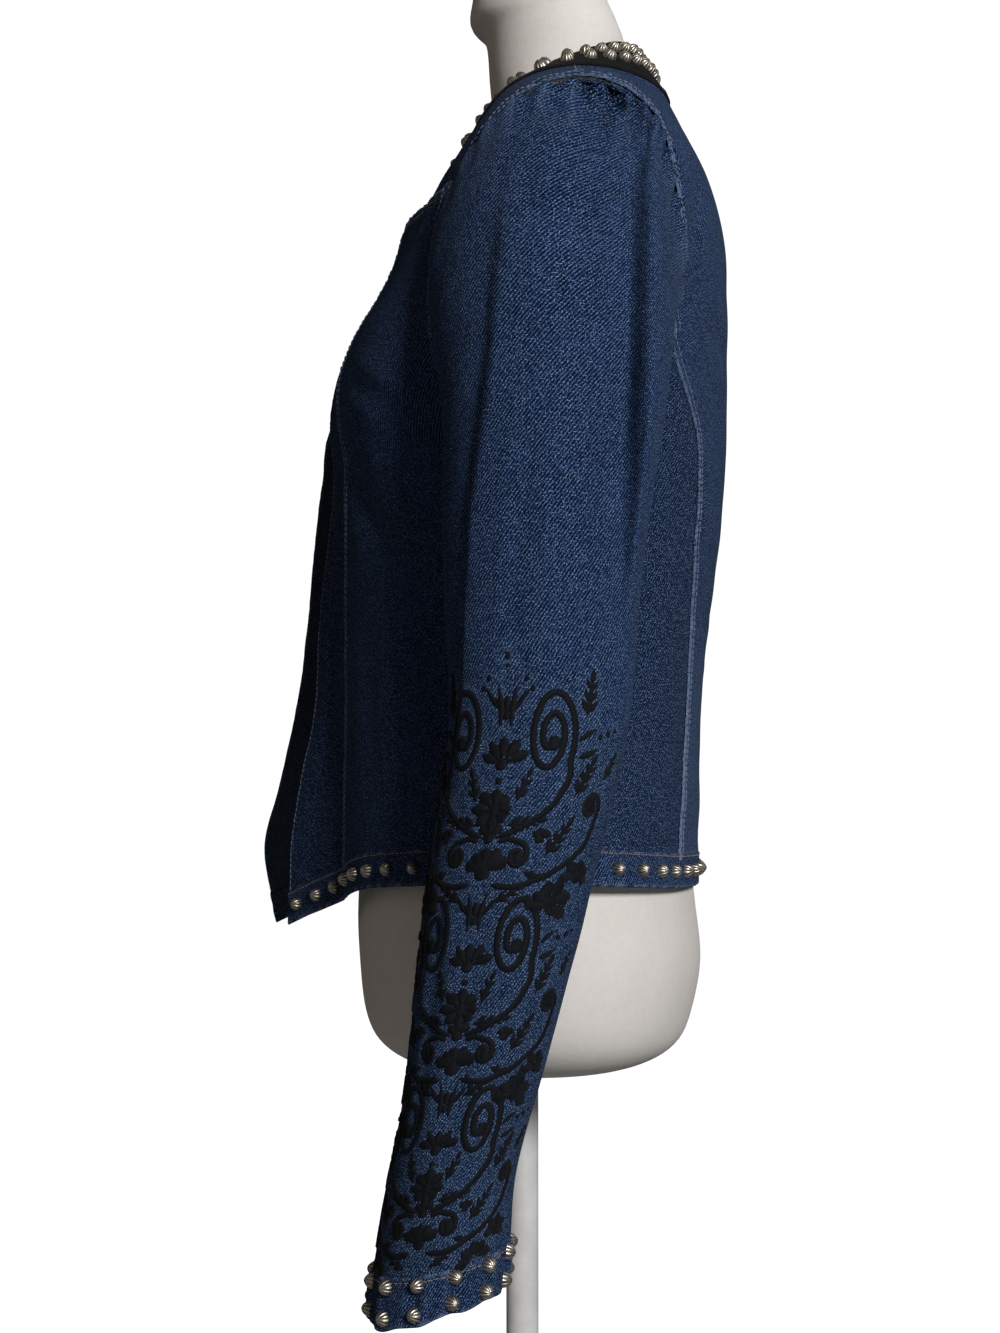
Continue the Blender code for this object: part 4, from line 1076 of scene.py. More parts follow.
@dataclass(frozen=True)
class Denim:
    """Dark indigo twill, with pale flecks, worn ridges and painted shade."""

    dark: Colour = (0.0015, 0.0052, 0.0190)
    middle: Colour = (0.0250, 0.0590, 0.1540)
    fleck: Colour = (0.2300, 0.3250, 0.5100)
    worn: Colour = (0.1500, 0.2050, 0.3300)
    faded: Colour = (0.0650, 0.1120, 0.2150)
    inner: Colour = (0.0500, 0.0680, 0.1000)
    pitch: float = 0.00150
    lean: float = 60.0

    def make(self, name: str) -> bpy.types.Material:
        """The material."""
        shader = Shader(name, Specular_IOR_Level=0.05, Sheen_Weight=0.02,
                        Sheen_Roughness=0.60, Sheen_Tint=(0.55, 0.68, 1.0, 1.0))
        places = shader.cloth_places()
        across, up, _ = shader.parts(places)
        grain = shader.weave(places, 1100.0, 900.0, 1.0, 0.6)
        warp = shader.weave(places, 520.0, 40.0, 2.0, 0.55)
        weft = shader.weave(places, 60.0, 620.0, 1.0, 0.5)
        cloud = shader.noise(places, 30.0, 4.0, 0.6)
        mottle = shader.noise(places, 260.0, 3.0, 0.65)
        speck = shader.weave(places, 1900.0, 1350.0, 0.0, 0.5)
        slope, rise = (math.sin(math.radians(self.lean)),
                       math.cos(math.radians(self.lean)))
        phase = (across * slope - up * rise) * (2.0 * math.pi / self.pitch)
        twill = (phase + grain * 1.2 + warp * 1.4).sine() * 0.5 + 0.5
        # Worn value: wear above zero, painted shade below zero.
        worn = shader.attribute("worn")
        halo = shader.attribute("halo")
        inside = shader.attribute("inside")
        tone = twill * 0.86 + grain * 0.74 + warp * 0.52 + weft * 0.18 + cloud * 0.50
        tone = tone + mottle * 0.70 - 1.34
        base = shader.blend(tone.band(0.17, 0.83), self.dark, self.middle)
        faded = (halo * 0.75 + (cloud - 0.5) * 0.5 + (warp - 0.5) * 0.4).band(0.05, 0.95)
        base = shader.blend(faded * 0.16, base, self.faded)
        rub = (worn * (0.35 + grain * 0.75 + twill * 0.25)).band(0.08, 0.95)
        base = shader.blend(rub * 0.85, base, self.worn)
        # Painted shade: below zero the worn value darkens the colour towards the dark
        # twill.
        painted_shade = (worn * -1.0).band(0.0, 0.8)
        base = shader.blend(painted_shade * 0.6, base, self.dark)
        flecks = (speck + mottle * 0.10 - 0.05 + twill * 0.07 + halo * 0.015
                  + worn.most(0.0) * 0.03).band(0.680, 0.750)
        base = shader.blend(flecks * 0.85, base, self.fleck)
        base = shader.blend(inside * 0.55, base, self.inner)
        return shader.finish(base, 0.80 + grain * 0.16,
                             twill * 0.55 + grain * 0.75 + warp * 0.25, 0.00022, 0.55)


@dataclass(frozen=True)
class Velvet:
    """Black pile with a soft uneven nap."""

    low: Colour = (0.0030, 0.0028, 0.0032)
    high: Colour = (0.0120, 0.0110, 0.0120)

    def make(self, name: str) -> bpy.types.Material:
        """The material."""
        shader = Shader(name, Specular_IOR_Level=0.10, Sheen_Weight=0.07,
                        Sheen_Roughness=0.35, Sheen_Tint=(0.75, 0.75, 0.85, 1.0))
        places = shader.object_places()
        pile = shader.noise(places, 1500.0, 2.0, 0.6)
        nap = shader.noise(places, 120.0, 3.0, 0.6)
        base = shader.blend(pile * 0.6 + nap * 0.6 - 0.1, self.low, self.high)
        return shader.finish(base, 0.86 + nap * 0.12, pile * 0.7 + nap * 0.8, 0.0004, 0.6)


@dataclass(frozen=True)
class AntiqueSilver:
    """Champagne silver that is dark in its hollows."""

    bright: Colour = (0.640, 0.585, 0.500)
    dull: Colour = (0.400, 0.355, 0.295)
    dark: Colour = (0.035, 0.030, 0.025)

    def make(self, name: str) -> bpy.types.Material:
        """The material."""
        shader = Shader(name, Metallic=1.0)
        places = shader.object_places()
        stain = shader.noise(places, 700.0, 3.0, 0.6)
        hollow = shader.attribute("hollow")
        base = shader.blend(stain.band(0.35, 0.70), self.bright, self.dull)
        base = shader.blend((hollow + (stain - 0.5) * 0.3).band(0.35, 0.95) * 0.9,
                            base, self.dark)
        return shader.finish(base, 0.26 + stain * 0.16 + hollow * 0.30, stain, 0.00008,
                             0.5)


@dataclass(frozen=True)
class SewingThread:
    """Twisted sewing thread."""

    light: Colour
    dark: Colour
    roughness: float = 0.70

    def make(self, name: str) -> bpy.types.Material:
        """The material."""
        shader = Shader(name, Specular_IOR_Level=0.3, Sheen_Weight=0.15)
        places = shader.object_places()
        fibre = shader.noise(places, 1800.0, 2.0, 0.6)
        wear = shader.noise(places, 160.0, 2.0, 0.5)
        base = shader.blend(fibre * 0.8 + wear * 1.2 - 0.5, self.dark, self.light)
        return shader.finish(base, self.roughness + fibre * 0.15, fibre, 0.00010, 0.6)


@dataclass(frozen=True)
class SatinStitch:
    """Black embroidery thread laid side by side across each shape."""

    low: Colour = (0.0012, 0.0017, 0.0028)
    high: Colour = (0.0095, 0.0120, 0.0170)
    pitch: float = 0.00075

    def make(self, name: str) -> bpy.types.Material:
        """The material."""
        shader = Shader(name, Specular_IOR_Level=0.14, Sheen_Weight=0.02)
        places = shader.cloth_places()
        along, across, _ = shader.parts(places)
        fibre = shader.weave(places, 1500.0, 300.0, 2.0, 0.6)
        patchy = shader.noise(shader.object_places(), 260.0, 3.0, 0.6)
        lay = ((along + across * 0.35) * (2.0 * math.pi / self.pitch)
               + fibre * 2.0).sine() * 0.5 + 0.5
        base = shader.blend(lay * 0.45 + fibre * 0.5 + patchy * 0.4 - 0.25, self.low,
                            self.high)
        return shader.finish(base, 0.52 + fibre * 0.25, lay * 0.8 + fibre * 0.5, 0.00022,
                             0.8)


@dataclass(frozen=True)
class FormCloth:
    """Off-white cover of the dress form, matt and faintly grained."""

    light: Colour = (0.880, 0.835, 0.790)
    dark: Colour = (0.770, 0.725, 0.675)

    def make(self, name: str) -> bpy.types.Material:
        """The material."""
        shader = Shader(name, Specular_IOR_Level=0.25)
        places = shader.object_places()
        fine = shader.noise(places, 900.0, 2.0, 0.6)
        fibre = shader.noise(places, 240.0, 4.0, 0.65)
        cloud = shader.noise(places, 18.0, 3.0, 0.5)
        share = (fibre * 0.6 + cloud * 0.7 + fine * 0.3 - 0.3).band(0.1, 0.9)
        return shader.finish(shader.blend(share, self.dark, self.light),
                             0.72 + fibre * 0.15, fibre * 0.7 + fine * 0.5, 0.0005, 0.45)


@dataclass(frozen=True)
class WhitePaint:
    """Satin white paint on steel."""

    light: Colour = (0.780, 0.775, 0.765)
    dark: Colour = (0.680, 0.670, 0.655)

    def make(self, name: str) -> bpy.types.Material:
        """The material."""
        shader = Shader(name, Coat_Weight=0.15, Coat_Roughness=0.25)
        places = shader.object_places()
        skin = shader.noise(places, 420.0, 2.0, 0.5)
        scuff = shader.noise(places, 40.0, 4.0, 0.6)
        base = shader.blend(scuff.band(0.35, 0.65), self.dark, self.light)
        return shader.finish(base, 0.34 + scuff * 0.16, skin, 0.00006, 0.5)


class Finishes:
    """All the materials of the jacket and its form."""

    def __init__(self) -> None:
        """Makes each material once."""
        self.denim = Denim().make("denim")
        self.velvet = Velvet().make("black_velvet")
        self.metal = AntiqueSilver().make("antique_silver")
        self.satin = SatinStitch().make("black_satin_stitch")
        self.form = FormCloth().make("form_shell")
        self.paint = WhitePaint().make("white_paint")
        self.thread = {
            Thread.BLUE: SewingThread((0.260, 0.330, 0.470), (0.070, 0.105, 0.190)
                                      ).make("blue_thread"),
            Thread.TAN: SewingThread((0.430, 0.270, 0.160), (0.190, 0.110, 0.065)
                                     ).make("tan_thread"),
        }


# Jacket ----------------------------------------------------------------------------


SIDES = (("left", 1), ("right", -1))


@dataclass
class Flat:
    """Size of a piece as it was cut."""

    width: float
    length: float
    area: float


@dataclass
class BodyPanels:
    """Back, side backs, side fronts, fronts and front yokes."""

    torso: Torso
    finishes: Finishes
    stitcher: Stitcher
    back_split: float = 10.0 / 15.0
    side_front_split: float = 0.58
    neck_share: float = 0.52
    lap: float = 0.0026
    lap_share: float = 0.08
    tuck: float = 0.004
    corner_reach: tuple[float, float] = (0.07, 0.30)

    def back_patch(self) -> Patch:
        """Back, from armhole to armhole."""
        torso = self.torso
        foot = torso.seam_foot(torso.back_princess)
        turn = torso.armhole_turn(torso.back_seam_top, True)
        right = two_part(follow(torso.back_princess, foot, torso.back_seam_top),
                         lambda share: torso.armhole(mix(turn, 0.0, share)),
                         self.back_split)

        def bottom(u: Array) -> Array:
            angle = mix(-1.0, 1.0, u) * angle_at(torso.back_princess, foot)
            return np.stack([angle, torso.foot(angle)])

        def top(u: Array) -> Array:
            across = np.abs(mix(-1.0, 1.0, u))
            neck = np.minimum(across / self.neck_share, 1.0) * torso.shoulder_angle
            down = np.clip((across - self.neck_share) / (1.0 - self.neck_share), 0.0, 2.0)
            point = float(torso.neck_line.one(torso.shoulder_angle))
            z = np.where(across < self.neck_share, torso.neck_line.one(neck),
                         mix(point, torso.armhole_height(0.0), down))
            return np.stack([np.copysign(neck, u - 0.5), z])

        mirror = np.array([-1.0, 1.0])[:, None]
        return Patch(bottom, top, lambda v: right(v) * mirror, right)

    def side_back_patch(self) -> Patch:
        """Side back, between the back princess seam and the side seam."""
        torso = self.torso
        left_foot = torso.seam_foot(torso.back_princess)
        right_foot = torso.seam_foot(torso.side_seam)
        underarm = torso.armhole_height(180.0)
        turn = torso.armhole_turn(torso.back_seam_top, True)
        bottom = torso.foot_line(angle_at(torso.back_princess, left_foot),
                                 angle_at(torso.side_seam, right_foot))
        return Patch(bottom, lambda u: torso.armhole(mix(turn, 180.0, u)),
                     follow(torso.back_princess, left_foot, torso.back_seam_top),
                     follow(torso.side_seam, right_foot, underarm))

    def side_front_patch(self) -> Patch:
        """Side front, from the side seam to the front princess seam."""
        torso = self.torso
        left_foot = torso.seam_foot(torso.side_seam)
        right_foot = torso.seam_foot(torso.front_princess)
        underarm = torso.armhole_height(180.0)
        turn = torso.armhole_turn(torso.yoke_z, False)
        return Patch(
            torso.foot_line(angle_at(torso.side_seam, left_foot),
                            angle_at(torso.front_princess, right_foot)),
            torso.level_line(float(torso.armhole(np.array(turn))[0]),
                             angle_at(torso.front_princess, torso.yoke_z), torso.yoke_z),
            two_part(follow(torso.side_seam, left_foot, underarm),
                     lambda share: torso.armhole(mix(180.0, turn, share)),
                     self.side_front_split),
            follow(torso.front_princess, right_foot, torso.yoke_z))

    def front_patch(self) -> Patch:
        """Front, from the front princess seam to the open edge."""
        torso = self.torso
        seams = (torso.front_princess, torso.front_edge)
        feet = [torso.seam_foot(seam) for seam in seams]
        bottom = torso.foot_line(*(angle_at(*each) for each in zip(seams, feet)))
        tops = (angle_at(seam, torso.yoke_z) for seam in seams)
        return Patch(bottom, torso.level_line(*tops, torso.yoke_z),
                     *(follow(seam, foot, torso.yoke_z)
                       for seam, foot in zip(seams, feet)))

    def yoke_patch(self) -> Patch:
        """Upper front, between the yoke seam, the neck, the shoulder and the armhole."""
        torso = self.torso
        turn = torso.armhole_turn(torso.yoke_z, False)
        corner = torso.armhole(np.array(turn))[:, None]
        edge = np.array([[angle_at(torso.front_edge, torso.yoke_z)], [torso.yoke_z]])
        neck = np.array([[torso.neck_end], [float(torso.neck_line.one(torso.neck_end))]])
        tops = (torso.armhole_height(0.0),
                float(torso.neck_line.one(torso.shoulder_angle)))

        def round_neck(share: Array) -> Array:
            angle = mix(torso.neck_end, torso.shoulder_angle, share)
            return np.stack([angle, torso.neck_line.one(angle)])

        return Patch(
            lambda u: mix(corner, edge, u[None]),
            lambda u: np.stack([np.full_like(u, torso.shoulder_angle), mix(*tops, u)]),
            lambda v: torso.armhole(mix(turn, 360.0, v)),
            two_part(lambda share: mix(edge, neck, share[None]), round_neck, 1.0 / 6.0))

    def panel(self, name: str, node: str, side: int, patch: Patch, across: Array,
              up: Array, seams: Sequence[Sewn], lap: float = 0.0,
              painted_shade_and_wear: float | Array = 0.0, corner: float = 0.0) -> bpy.types.Object:
        """One panel with its seams.

        Args:
            name: Name of the piece.
            node: Node that it stands for.
            side: 1 for the wearer's left, -1 for the right.
            patch: Outline on the torso.
            across: Shares of its columns.
            up: Shares of its rows.
            seams: How its edges are sewn.
            lap: How far its top edge stands over the piece above.
            painted_shade_and_wear: Taken from the worn value: above zero, painted shade
                that darkens all its cloth; below zero, more wear that makes it lighter.
            corner: How far its top corner at the front princess seam is lifted.

        Returns:
            The piece.
        """
        angle, z = patch.grid(across, up)
        points, outward = self.torso.place(angle, z, side)
        raised = lap * ease((up - 1.0 + self.lap_share) / self.lap_share)
        side_on = across if node.startswith("front_") else 1.0 - across
        high, wide = self.corner_reach
        lifted = corner * np.exp(-((1.0 - up[:, None]) / high) ** 2
                                 - (side_on[None] / wide) ** 2)
        points = points + outward * (raised[:, None] + lifted)[..., None]
        grid = ClothGrid(points, side, flip=side > 0)
        for sewn in seams:
            grid.sew(sewn)
        soft = ripple(grid.base[..., 2] + 0.4 * grid.base[..., 1], 0.041, 5)
        grid.relief = grid.relief + 0.00025 * soft
        # Painted shade over the whole panel where the value is above zero.
        grid.worn = grid.worn - painted_shade_and_wear
        grid.shape()
        for sewn in seams:
            self.stitcher.sew_edge(grid, sewn)
        made = dress(cut_cloth(name, grid, SHELL_DENIM, self.finishes.denim),
                     "denim", node)
        return made

    def rows(self, length: float) -> Array:
        """Shares of a panel's rows, the first of them tucked under the piece below."""
        return np.concatenate([[-self.tuck / length], stations(length)])

    def build(self) -> None:
        """Makes all the panels."""
        split = self.back_split * 0.94
        shoulder = (1.0 - self.neck_share) / 2.0
        across = stations(0.30)
        up = self.rows(0.46)
        self.panel(
            "back_cloth", "back_panel", 1, self.back_patch(), across, up,
            (Sewn(Edge.LEFT, PRINCESS, high=split, seed=11),
             Sewn(Edge.RIGHT, PRINCESS, high=split, seed=12),
             Sewn(Edge.LEFT, ARMHOLE, low=split, seed=13),
             Sewn(Edge.RIGHT, ARMHOLE, low=split, seed=14),
             Sewn(Edge.HEAD, UNDER, high=shoulder, seed=15),
             Sewn(Edge.HEAD, UNDER, low=1.0 - shoulder, seed=16),
             Sewn(Edge.FOOT, HEM_TOP, seed=17)),
            painted_shade_and_wear=-0.30 * ease((0.45 - up) / 0.30)[:, None])
        for word, side in SIDES:
            seed = 20 if side > 0 else 40
            self.panel(
                f"side_back_cloth_{word}", f"side_back_{word}", side,
                self.side_back_patch(), stations(0.085), self.rows(0.28),
                (Sewn(Edge.LEFT, UNDER, seed=seed),
                 Sewn(Edge.RIGHT, UNDER, seed=seed + 1),
                 Sewn(Edge.HEAD, ARMHOLE, seed=seed + 2),
                 Sewn(Edge.FOOT, HEM_TOP, seed=seed + 3)),
                # Painted shade darkens the side backs.
                painted_shade_and_wear=0.55)
            split = self.side_front_split
            self.panel(
                f"side_front_cloth_{word}", f"side_front_{word}", side,
                self.side_front_patch(), stations(0.12), self.rows(0.38),
                (Sewn(Edge.LEFT, UNDER, high=split, seed=seed + 4),
                 Sewn(Edge.LEFT, ARMHOLE, low=split, seed=seed + 5),
                 Sewn(Edge.RIGHT, PRINCESS, seed=seed + 6),
                 Sewn(Edge.HEAD, YOKE_SEAM, seed=seed + 7),
                 Sewn(Edge.FOOT, HEM_TOP, seed=seed + 8)),
                self.lap, corner=0.0030)
            self.panel(
                f"front_cloth_{word}", f"front_{word}", side,
                self.front_patch(), stations(0.065, 0.0024), self.rows(0.40),
                (Sewn(Edge.LEFT, UNDER, seed=seed + 9),
                 Sewn(Edge.RIGHT, OPEN_EDGE, seed=seed + 10),
                 Sewn(Edge.HEAD, YOKE_SEAM, seed=seed + 11),
                 Sewn(Edge.FOOT, HEM_TOP, seed=seed + 12)),
                self.lap,
                # Painted shade darkens the left front only.
                0.60 if side > 0 else 0.0, 0.0030)
            self.panel(
                f"front_yoke_cloth_{word}", f"front_yoke_{word}", side,
                self.yoke_patch(), stations(0.13), self.rows(0.10),
                (Sewn(Edge.LEFT, ARMHOLE, seed=seed + 13),
                 Sewn(Edge.RIGHT, OPEN_EDGE, high=0.14, seed=seed + 14),
                 Sewn(Edge.HEAD, SHOULDER, low=0.06, high=0.90, seed=seed + 15)),
                # Painted shade darkens the front yokes a little.
                painted_shade_and_wear=0.15)


TURNED_ROLL = {Edge.FOOT: 0.0013, Edge.HEAD: 0.0008}


@dataclass
class Hems:
    """Turned and studded hems along the foot of each panel."""

    torso: Torso
    finishes: Finishes
    stitcher: Stitcher
    studs: StudSetter
    proud: float = 0.0006
    stud_pitch: float = 0.019
    spots: list[Array] = field(default_factory=list)
    outward: list[Array] = field(default_factory=list)

    def strip(self, name: str, node: str, start: float, end: float, side: int,
              seed: int) -> None:
        """One hem with its stitches, and the places of its studs.

        Args:
            name: Name of the piece.
            node: Node that it stands for.
            start: Angle about the body where it starts.
            end: Angle where it ends.
            side: 1 for the wearer's left, -1 for the right.
            seed: Seed of its puckers.
        """
        height = self.torso.hem_height
        line = np.linspace(start, end, 60)
        length = float(running(self.torso.point(line, self.torso.foot(line), side)[None],
                               1)[0, -1])
        across = stations(length, 0.0025)
        rise = stations(height, 0.0020)
        angle = np.broadcast_to(mix(start, end, across)[None], (len(rise), len(across)))
        low = self.torso.hem_line.one(np.abs(angle))
        points, outward = self.torso.place(angle, low + rise[:, None] * height, side)
        grid = ClothGrid(points + outward * self.proud, side, flip=side > 0)
        along, above = grid.along(Edge.FOOT), grid.away(Edge.FOOT)
        wave = ripple(along + 0.7 * above, 0.0095, seed)
        grid.relief = 0.00030 * wave * np.sin(math.pi * rise)[:, None] ** 0.5
        grid.roll(TURNED_ROLL)
        foot, head = grid.rubbed()
        # Wear along the turned edges; the wave lightens the pucker ridges and paints
        # shade into their troughs.
        grid.worn = (0.70 * foot + 0.55 * head) * (0.7 + 0.5 * wave) + 0.12 * wave
        count = max(round(length / self.stud_pitch), 1)
        columns = counted((np.arange(count) + 0.5) / count, across)
        middle = np.full(count, counted(0.5, rise))
        grid.press(between(grid.base, middle, columns), 0.00035, 0.0060)
        grid.shape()
        self.stitcher.sew(*grid.line(Edge.HEAD, 0.0017), Thread.TAN)
        self.spots.append(between(grid.points, middle, columns))
        self.outward.append(between(grid.outward, middle, columns))
        made = dress(cut_cloth(name, grid, DOUBLED_DENIM, self.finishes.denim),
                     "denim", node)

    def build(self) -> None:
        """Makes all the hems, then their studs."""
        torso = self.torso
        back, flank, princess, edge = (
            angle_at(seam, torso.seam_foot(seam))
            for seam in (torso.back_princess, torso.side_seam, torso.front_princess,
                         torso.front_edge))
        self.strip("back_hem", "hem_back", -back, back, 1, 61)
        for word, side in SIDES:
            seed = 62 if side > 0 else 66
            self.strip(f"side_back_hem_{word}", f"hem_side_back_{word}", back, flank,
                       side, seed)
            self.strip(f"side_front_hem_{word}", f"hem_side_front_{word}", flank,
                       princess, side, seed + 1)
            self.strip(f"front_hem_{word}", f"hem_front_{word}", princess, edge, side,
                       seed + 2)
        made = self.studs.build("hem_studs", np.concatenate(self.spots),
                                np.concatenate(self.outward), self.finishes)
        dress(made, "denim")


@dataclass
class NeckBand:
    """Studded velvet band round the neck, open at the centre front."""

    torso: Torso
    finishes: Finishes
    studs: StudSetter
    rim: Table = field(default_factory=lambda: Table(
        (0.0, 0.0000, 0.0705, 1.0510), (45.0, 0.0440, 0.0595, 1.0445),
        (90.0, 0.0615, 0.0330, 1.0315), (110.0, 0.0600, 0.0135, 1.0235),
        (130.0, 0.0535, -0.0080, 1.0095), (150.0, 0.0410, -0.0255, 0.9950),
        (168.0, 0.0130, -0.0365, 0.9775)))
    length: float = 0.39
    height: float = 0.042
    bulge: float = 0.002
    rise: float = 0.0015
    lap: float = 0.0016
    axis_y: float = 0.025
    thickness: float = 0.0024
    count: int = 30
    levels: tuple[float, float] = (0.464, 0.774)

    def point(self, turn: Array, share: Array) -> Array:
        """Point of the band: turn from the back in degrees, share of its height."""
        side = np.where(turn < 0.0, -1.0, 1.0)
        angle = np.abs(turn)
        seam = self.torso.neck_line.one(angle)
        under = np.minimum(share, 0.0) * 0.055
        left, outward = self.torso.place(angle, seam + self.rise + under, 1)
        right, outward_right = self.torso.place(angle, seam + self.rise + under, -1)
        flag = (side > 0.0)[..., None]
        foot = np.where(flag, left, right)
        lift = np.where(flag, outward, outward_right)
        foot = foot + lift * (self.lap * ease(1.0 - share / 0.10))[..., None]
        x, y, z = self.rim.at(angle)
        crest = np.stack([side * x, y, z], axis=-1)
        away = foot - np.array([0.0, self.axis_y, 0.0])
        away[..., 2] = 0.0
        share = np.maximum(share, 0.0)
        bulge = self.bulge * 4.0 * share * (1.0 - share)
        return mix(foot, crest, share[..., None]) + unit(away) * bulge[..., None]

    def build(self) -> None:
        """Makes the band and its studs."""
        end = self.torso.neck_end
        across = stations(self.length, 0.0025)
        up = np.concatenate([[-0.06, -0.03], stations(self.height, 0.0020)])
        turn, share = np.broadcast_arrays(mix(-end, end, across)[None], up[:, None])
        grid = ClothGrid(self.point(turn, share), 1)
        grid.roll({Edge.HEAD: 0.0012, Edge.LEFT: 0.0012, Edge.RIGHT: 0.0012,
                   Edge.FOOT: 0.0010})
        centres = (np.arange(self.count) + 0.5) / self.count
        columns = counted(np.tile(centres, 2), across)
        rows = counted(np.repeat(self.levels, self.count), up)
        grid.press(between(grid.base, rows, columns), 0.0006, 0.0062)
        grid.relief += 0.0002 * ripple(grid.along(Edge.FOOT), 0.017, 81)
        grid.shape()
        made = dress(cut_cloth("neck_band_velvet", grid, self.thickness,
                               self.finishes.velvet), "black_velvet", "neck_band")
        made = self.studs.build("neck_band_studs", between(grid.points, rows, columns),
                                between(grid.outward, rows, columns), self.finishes)
        dress(made, "black_velvet")


@dataclass
class SleeveShape:
    """Surface of a sleeve, by angle about the arm and share of its length."""

    torso: Torso
    rings: Table = field(default_factory=lambda: Table(
        (0.3425, 0.2030, -0.0383, 0.0340, 0.0390, 0.260),
        (0.3650, 0.2040, -0.0358, 0.0342, 0.0385, 0.230),
        (0.4050, 0.2060, -0.0306, 0.0328, 0.0370, 0.150),
        (0.4480, 0.2090, -0.0205, 0.0340, 0.0365, 0.080),
        (0.4940, 0.2125, -0.0118, 0.0377, 0.0370, 0.050),
        (0.5480, 0.2150, -0.0022, 0.0418, 0.0375, 0.030),
        (0.6030, 0.2155, 0.0089, 0.0446, 0.0380, 0.015),
        (0.6420, 0.2150, 0.0138, 0.0462, 0.0385, 0.000),
        (0.6900, 0.2150, 0.0146, 0.0494, 0.0390, 0.000),
        (0.7350, 0.2165, 0.0163, 0.0527, 0.0395, 0.000),
        (0.7720, 0.2185, 0.0196, 0.0553, 0.0400, 0.000)))
    top_z: float = 0.7720
    end_z: float = 0.3425
    cuff: float = 0.0245
    rise: float = 0.0014
    tuck: float = -0.0006
    tuck_run: float = 0.0060
    drop: float = 44.0
    fullness: float = 0.30
    arrival: float = 1.3
    bulges: tuple[float, float] = (0.35, -0.20)
    head_share: float = 0.40
    # Where the flat front of each sleeve starts: share, angle and how deep it is sunk.
    flat_depth: float = 0.0145
    flat_line: tuple[Table, Table] = field(default_factory=lambda: (
        Table((-0.05, -12.0, 0.0), (0.06, -16.0, 0.30), (0.18, -24.0, 0.80),
              (0.34, -32.0, 1.0), (0.46, -42.0, 1.0), (0.58, -54.0, 0.75),
              (0.72, -62.0, 0.25), (0.85, -66.0, 0.0), (1.1, -66.0, 0.0)),
        Table((-0.05, -14.0, 0.0), (0.06, -18.0, 0.30), (0.18, -26.0, 0.80),
              (0.34, -33.0, 1.0), (0.46, -41.0, 0.95), (0.58, -52.0, 0.70),
              (0.72, -60.0, 0.25), (0.85, -64.0, 0.0), (1.1, -64.0, 0.0))))
    folds: tuple[Crease, ...] = (
        Crease(1, -10.0, -0.25, 57.0, 0.62, 0.0180, 18.0, 0.0, 0.36),
        Crease(1, 2.0, 0.00, 4.0, 0.20, 0.0040, 6.5, 0.2, 0.2),
        Crease(1, -14.0, 0.70, -8.0, 0.97, 0.0022, 11.0),
        Crease(-1, -11.0, -0.25, 54.0, 0.60, 0.0170, 18.0, 0.0, 0.36),
        Crease(-1, -2.0, 0.00, 2.0, 0.22, 0.0040, 6.5, 0.2, 0.2),
        Crease(-1, -10.0, 0.72, -14.0, 0.96, 0.0022, 11.0),
        # Ridges beside the long folds, and smaller creases.
        Crease(1, 37.0, 0.01, 76.0, 0.62, -0.0034, 9.0),
        Crease(-1, 35.0, 0.01, 74.0, 0.60, -0.0032, 9.0),
        Crease(1, 13.0, 0.00, 14.0, 0.13, 0.0032, 4.5, 0.2),
        Crease(-1, 12.0, 0.00, 12.0, 0.12, 0.0032, 4.5, 0.2),
        Crease(1, -14.0, 0.01, -20.0, 0.22, 0.0024, 7.0, 0.3),
        Crease(-1, -12.0, 0.01, -20.0, 0.20, 0.0024, 7.0, 0.3),
        Crease(1, 38.0, 0.30, 30.0, 0.52, 0.0012, 6.0, 0.5),
        Crease(1, 78.0, 0.30, 70.0, 0.60, 0.0014, 6.0, 0.5),
        Crease(1, -6.0, 0.34, -18.0, 0.62, 0.0009, 6.0, 0.4),
        Crease(1, 96.0, 0.34, 100.0, 0.64, 0.0018, 8.0, 0.4),
        Crease(1, -84.0, 0.30, -80.0, 0.66, 0.0014, 7.0, 0.4),
        Crease(1, 40.0, 0.66, 44.0, 0.90, 0.0010, 7.0, 0.4),
        Crease(1, -48.0, 0.70, -44.0, 0.95, 0.0010, 6.0, 0.5),
        Crease(1, 20.0, 0.82, 24.0, 1.02, 0.0008, 5.0, 0.5),
        Crease(-1, 36.0, 0.31, 32.0, 0.50, 0.0012, 6.0, 0.5),
        Crease(-1, 76.0, 0.28, 72.0, 0.58, 0.0014, 6.0, 0.5),
        Crease(-1, -8.0, 0.36, -14.0, 0.60, 0.0009, 6.0, 0.4),
        Crease(-1, 98.0, 0.32, 98.0, 0.66, 0.0018, 8.0, 0.4),
        Crease(-1, -82.0, 0.32, -84.0, 0.64, 0.0014, 7.0, 0.4),
        Crease(-1, 42.0, 0.68, 40.0, 0.92, 0.0010, 7.0, 0.4),
        Crease(-1, -46.0, 0.68, -50.0, 0.94, 0.0010, 6.0, 0.5),
        Crease(-1, 16.0, 0.80, 22.0, 1.02, 0.0008, 5.0, 0.5),
    )
    # Gathers at the head: turn, length, depth and half width along the seam.
    gathers: tuple[tuple[float, float, float, float], ...] = (
        (-62.0, 0.016, 0.0012, 3.4), (-47.0, 0.022, 0.0016, 3.4),
        (-33.0, 0.016, 0.0014, 3.0), (-20.0, 0.030, 0.0022, 3.2),
        (-9.0, 0.022, 0.0020, 2.8), (0.5, 0.034, 0.0028, 2.8),
        (10.0, 0.060, 0.0036, 3.0), (20.0, 0.026, 0.0026, 2.6),
        (29.0, 0.042, 0.0034, 2.8), (38.0, 0.024, 0.0026, 2.6),
        (46.0, 0.036, 0.0030, 2.8), (55.0, 0.022, 0.0024, 2.6),
        (64.0, 0.034, 0.0028, 3.0), (74.0, 0.022, 0.0020, 3.0),
        (90.0, 0.016, 0.0012, 3.4), (104.0, 0.018, 0.0008, 3.6))

